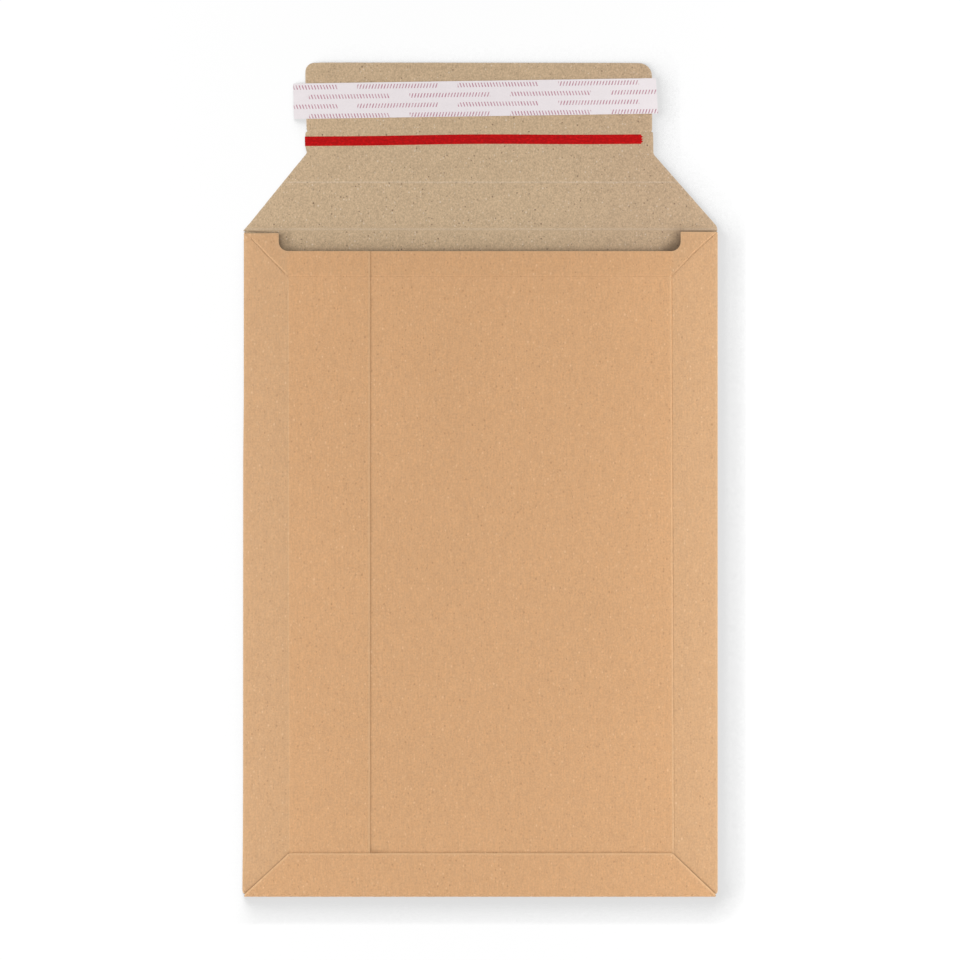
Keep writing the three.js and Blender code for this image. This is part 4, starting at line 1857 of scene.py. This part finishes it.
@dataclass
class ReleaseLiner:
    """The printed release paper over the adhesive, whose ends stand past the flap and droop.

    Args:
        middle: Where its middle is across.
        height: Height of its middle above the bottom fold.
        cut_back: How far the right and the left end of its upper edge are out of square.
        tip: Rounding of its corners.
        above: Height of its underside.
        tilt: How far it is turned, in degrees.
        rest: Places across between which it lies on the adhesive.
        droop: How far its left and right ends hang down.
        droop_reach: Distance over which they do.
        wave: Unevenness of its surface.
        wave_stretch: How many times finer that is across the paper than along it.
        wave_reach: Distance from the edge over which it fades.
        step: Distance between points.
    """

    middle: float = -2.5
    height: float = 420.8
    length: float = 192.0
    width: float = 18.7
    cut_back: Pair = (-0.9, -0.2)
    tip: float = 0.3
    thick: float = 0.08
    above: float = 0.76
    tilt: float = 0.86
    rest: Pair = (-91.5, 89.0)
    droop: Pair = (0.35, 0.2)
    droop_reach: float = 8.0
    wave: Ripple = Ripple(0.02, 14.0, 60.0, 8, 27)
    wave_stretch: float = 2.0
    wave_reach: float = 4.0
    step: float = 1.8

    def corners(self) -> Points:
        """The paper's outline before it is turned, anticlockwise."""
        x, y = 0.5 * self.length, 0.5 * self.width
        right, left = self.cut_back
        places = ((-x, -y), (x, -y), (x + right, y), (-x + left, y))
        return rounded([(*place, self.tip) for place in places], 3)

    def place(self, flat: Points, gap: np.ndarray) -> Skins:
        """Lays the paper on the adhesive.

        Args:
            flat: Points along and across the paper.
            gap: Distance of each point from the cut edge.

        Returns:
            The points of its underside and of its upper face.
        """
        x, y = turned(flat, self.tilt, (self.middle, self.height))
        z = self.above + self.wave.at(x, self.wave_stretch * y) * smooth(gap / self.wave_reach)
        for sign, limit, droop in zip((-1.0, 1.0), self.rest, self.droop):
            z -= droop * smooth(sign * (x - limit) / self.droop_reach)
        lower = np.stack([x, y, z], 1)
        return lower, lower + (0.0, 0.0, self.thick)

    def grain(self, flat: Points) -> Points:
        """Places across, and down from the paper's upper edge."""
        return np.stack([flat[:, 0] + self.middle, 0.5 * self.width - flat[:, 1], np.zeros(len(flat))], 1)

    def build(self) -> bpy.types.Object:
        """Builds and dresses the paper.

        Returns:
            The piece.
        """
        spans = (np.arange(-0.5 * size, 0.5 * size, self.step) for size in (self.length, self.width))
        points = np.stack(np.meshgrid(*spans), 2).reshape(-1, 2)
        sheet = SheetMesh(
            "release_paper",
            self.corners(),
            points,
            self.place,
            self.grain,
            roughness=0.012,
            rows_inside=(0.3, 0.8),
            edge_rows=1,
        )
        piece = sheet.build()
        for _ in Skin:
            piece.data.materials.append(LinerPaper().material())
        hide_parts("release_liner")
        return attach(piece, "flap")


@dataclass
class GlueLines:
    """The glue and adhesive lines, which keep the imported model's shapes.

    Args:
        tack: Finish of the adhesive under the liner.
        dried: Colours of the dried glue and of its thicker parts.
        dried_roughness: Its roughness.
        names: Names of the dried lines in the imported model, and of their materials.
    """

    tack: Gluey = Gluey("tack", (0.80, 0.74, 0.58), (0.74, 0.62, 0.40), 0.3)
    dried: tuple[Colour, Colour] = ((0.80, 0.75, 0.62), (0.70, 0.60, 0.42))
    dried_roughness: float = 0.6
    names: tuple[tuple[str, str], ...] = (
        ("side_seam_glue", "dry_seam_glue"),
        ("bottom_glue_left", "dry_left_glue"),
        ("bottom_glue_right", "dry_right_glue"),
    )

    def dress(self) -> list[bpy.types.Object]:
        """Dresses the lines.

        Returns:
            Their objects.
        """
        finishes = {"closure_adhesive": self.tack}
        for node, name in self.names:
            finishes[node] = Gluey(name, *self.dried, self.dried_roughness)
        dressed = []
        for node, finish in finishes.items():
            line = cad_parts[node]
            line.data.materials.clear()
            line.data.materials.append(finish.material())
            dressed.append(line)
        return dressed


# The room


@dataclass(frozen=True)
class Lamp:
    """A soft rectangular lamp.

    Args:
        place: Where it stands, in metres.
        aim: The point that it faces, in metres.
        size: Its width and length, in metres.
        power: Its power, in watts.
    """

    name: str
    place: Triple
    aim: Triple
    size: Pair
    power: float

    def build(self) -> bpy.types.Object:
        """Builds the lamp.

        Returns:
            The lamp.
        """
        data = bpy.data.lights.new(self.name, "AREA")
        data.shape = "RECTANGLE"
        data.size, data.size_y = self.size
        data.energy = self.power
        lamp = bpy.data.objects.new(self.name, data)
        lamp.location = self.place
        facing = Vector(self.aim) - Vector(self.place)
        lamp.rotation_euler = facing.to_track_quat("-Z", "Y").to_euler()
        lamp.visible_camera = False
        bpy.context.scene.collection.objects.link(lamp)
        return lamp


@dataclass
class Studio:
    """Pale floor, soft lamps and the camera.

    Args:
        floor_half: Half of the floor's width, in metres.
        floor_drop: How far the floor lies below the envelope, in metres.
        glow: Brightness that the floor shows to the camera and in a gloss.
        glow_share: How much of what they see is that, and not the light that falls on the floor.
        shade_reach: How far the envelope's soft shadow reaches on the floor, in metres.
        shade_depth: How deep that shadow is.
        shade_rays: How many rays look for what shades a place; one that finds something is enough.
        shade_turn: Direction from which things shade the floor.
        dome: Strength of the light from the surroundings.
        camera_height: Height of the camera above what it is focused on, in metres.
        camera_place: Where the camera stands across and along, in metres.
        focus_height: Height of what the camera is focused on, in metres.
        sensor: Width of the camera's sensor, in millimetres.
        view_width: Width of floor that the camera sees, in metres.
    """

    floor_half: float = 2.5
    floor_drop: float = 0.0001
    floor_colour: Colour = (0.80, 0.80, 0.80)
    glow: float = 1.02
    glow_share: float = 0.88
    shade_reach: float = 0.0152
    shade_depth: float = 0.285
    shade_rays: int = 12
    shade_turn: Triple = (-0.90, 0.55, 0.25)
    dome: float = 0.302
    sky_colour: Colour = (1.0, 1.0, 1.0)
    lamps: tuple[Lamp, ...] = (
        Lamp("near_left", (-0.33, -0.02, 0.12), (-0.05, -0.02, 0.0), (0.9, 0.06), 0.67),
        Lamp("near_right", (0.33, -0.02, 0.12), (0.05, -0.02, 0.0), (0.9, 0.06), 1.12),
        Lamp("near_front", (0.0, -0.5, 0.15), (0.0, -0.1, 0.0), (0.7, 0.06), 0.34),
        Lamp("far_left", (-1.1, 0.0, 0.6), (0.0, 0.0, 0.0), (1.2, 0.5), 3.17),
        Lamp("far_front", (0.0, -1.2, 0.6), (0.0, 0.0, 0.0), (1.2, 0.5), 0.37),
        Lamp("overhead", (0.0, 0.0, 1.5), (0.0, 0.001, 0.0), (1.1, 1.1), 8.13),
    )
    camera_height: float = 4.0
    camera_place: Pair = (-0.00032, -0.00050)
    focus_height: float = 0.0007
    sensor: float = 36.0
    view_width: float = 0.50612

    def build(self) -> None:
        """Builds the room."""
        self.floor()
        self.surroundings()
        for lamp in self.lamps:
            lamp.build()
        self.camera()

    def floor(self) -> bpy.types.Object:
        """Builds the floor.

        Returns:
            The floor.
        """
        half = self.floor_half
        turns = ((-half, -half), (half, -half), (half, half), (-half, half))
        corners = [(x, y, -self.floor_drop) for x, y in turns]
        mesh = bpy.data.meshes.new("floor")
        mesh.from_pydata(corners, [], [(0, 1, 2, 3)])
        floor = bpy.data.objects.new("floor", mesh)
        bpy.context.scene.collection.objects.link(floor)
        mesh.materials.append(self.floor_finish())
        return floor

    def floor_finish(self) -> bpy.types.Material:
        """Makes the floor's material.

        Returns:
            The material.
        """
        recipe = Recipe("pale_floor")
        turn = Vector(self.shade_turn).normalized()
        facing = recipe.node("ShaderNodeCombineXYZ", {}, dict(enumerate(turn)))
        rays, inputs = {"samples": self.shade_rays}, {"Distance": self.shade_reach, "Normal": facing}
        open_share = recipe.node("ShaderNodeAmbientOcclusion", rays, inputs, "AO")
        shade = 1.0 - (1.0 - open_share).rise(0.0, 1.0 / self.shade_rays) * self.shade_depth
        lit = recipe.node("ShaderNodeBsdfDiffuse", {}, {"Color": self.floor_colour})
        glow = recipe.node("ShaderNodeEmission", {}, {"Strength": self.glow * shade})
        share = recipe.seen() * self.glow_share
        both = recipe.node("ShaderNodeMixShader", {}, {0: share, 1: lit, 2: glow})
        recipe.add("ShaderNodeOutputMaterial", {}, {"Surface": both})
        return recipe.owner

    def surroundings(self) -> None:
        """Sets the world: soft white light, and plain white where the camera or a gloss sees it."""
        world = bpy.data.worlds.new("white_room")
        recipe = Recipe("white_room", world)
        strength = self.dome + recipe.seen() * (1.0 - self.dome)
        sky = recipe.node("ShaderNodeBackground", {}, {"Color": self.sky_colour, "Strength": strength})
        recipe.add("ShaderNodeOutputWorld", {}, {"Surface": sky})
        bpy.context.scene.world = world

    def camera(self) -> bpy.types.Object:
        """Builds the camera, which looks straight down.

        Returns:
            The camera.
        """
        data = bpy.data.cameras.new("overhead")
        data.sensor_width = self.sensor
        data.lens = self.sensor * self.camera_height / self.view_width
        data.clip_end = 4.0 * self.camera_height
        camera = bpy.data.objects.new("overhead", data)
        camera.location = (*self.camera_place, self.focus_height + self.camera_height)
        bpy.context.scene.collection.objects.link(camera)
        bpy.context.scene.camera = camera
        return camera


def report(piece: bpy.types.Object) -> None:
    """Logs a piece's name and size."""
    mesh = piece.data
    LOG.info("%s: %d vertices, %d faces", piece.name, len(mesh.vertices), len(mesh.polygons))


def main() -> None:
    """Builds the envelope and its room."""
    logging.basicConfig(level=logging.INFO, format="%(name)s: %(message)s")
    bpy.context.scene.view_settings.view_transform = "Standard"
    Studio().build()
    for part in (Board(), TearTape(), ReleaseLiner()):
        report(part.build())
    for line in GlueLines().dress():
        report(line)


if __name__ == "__main__":
    main()
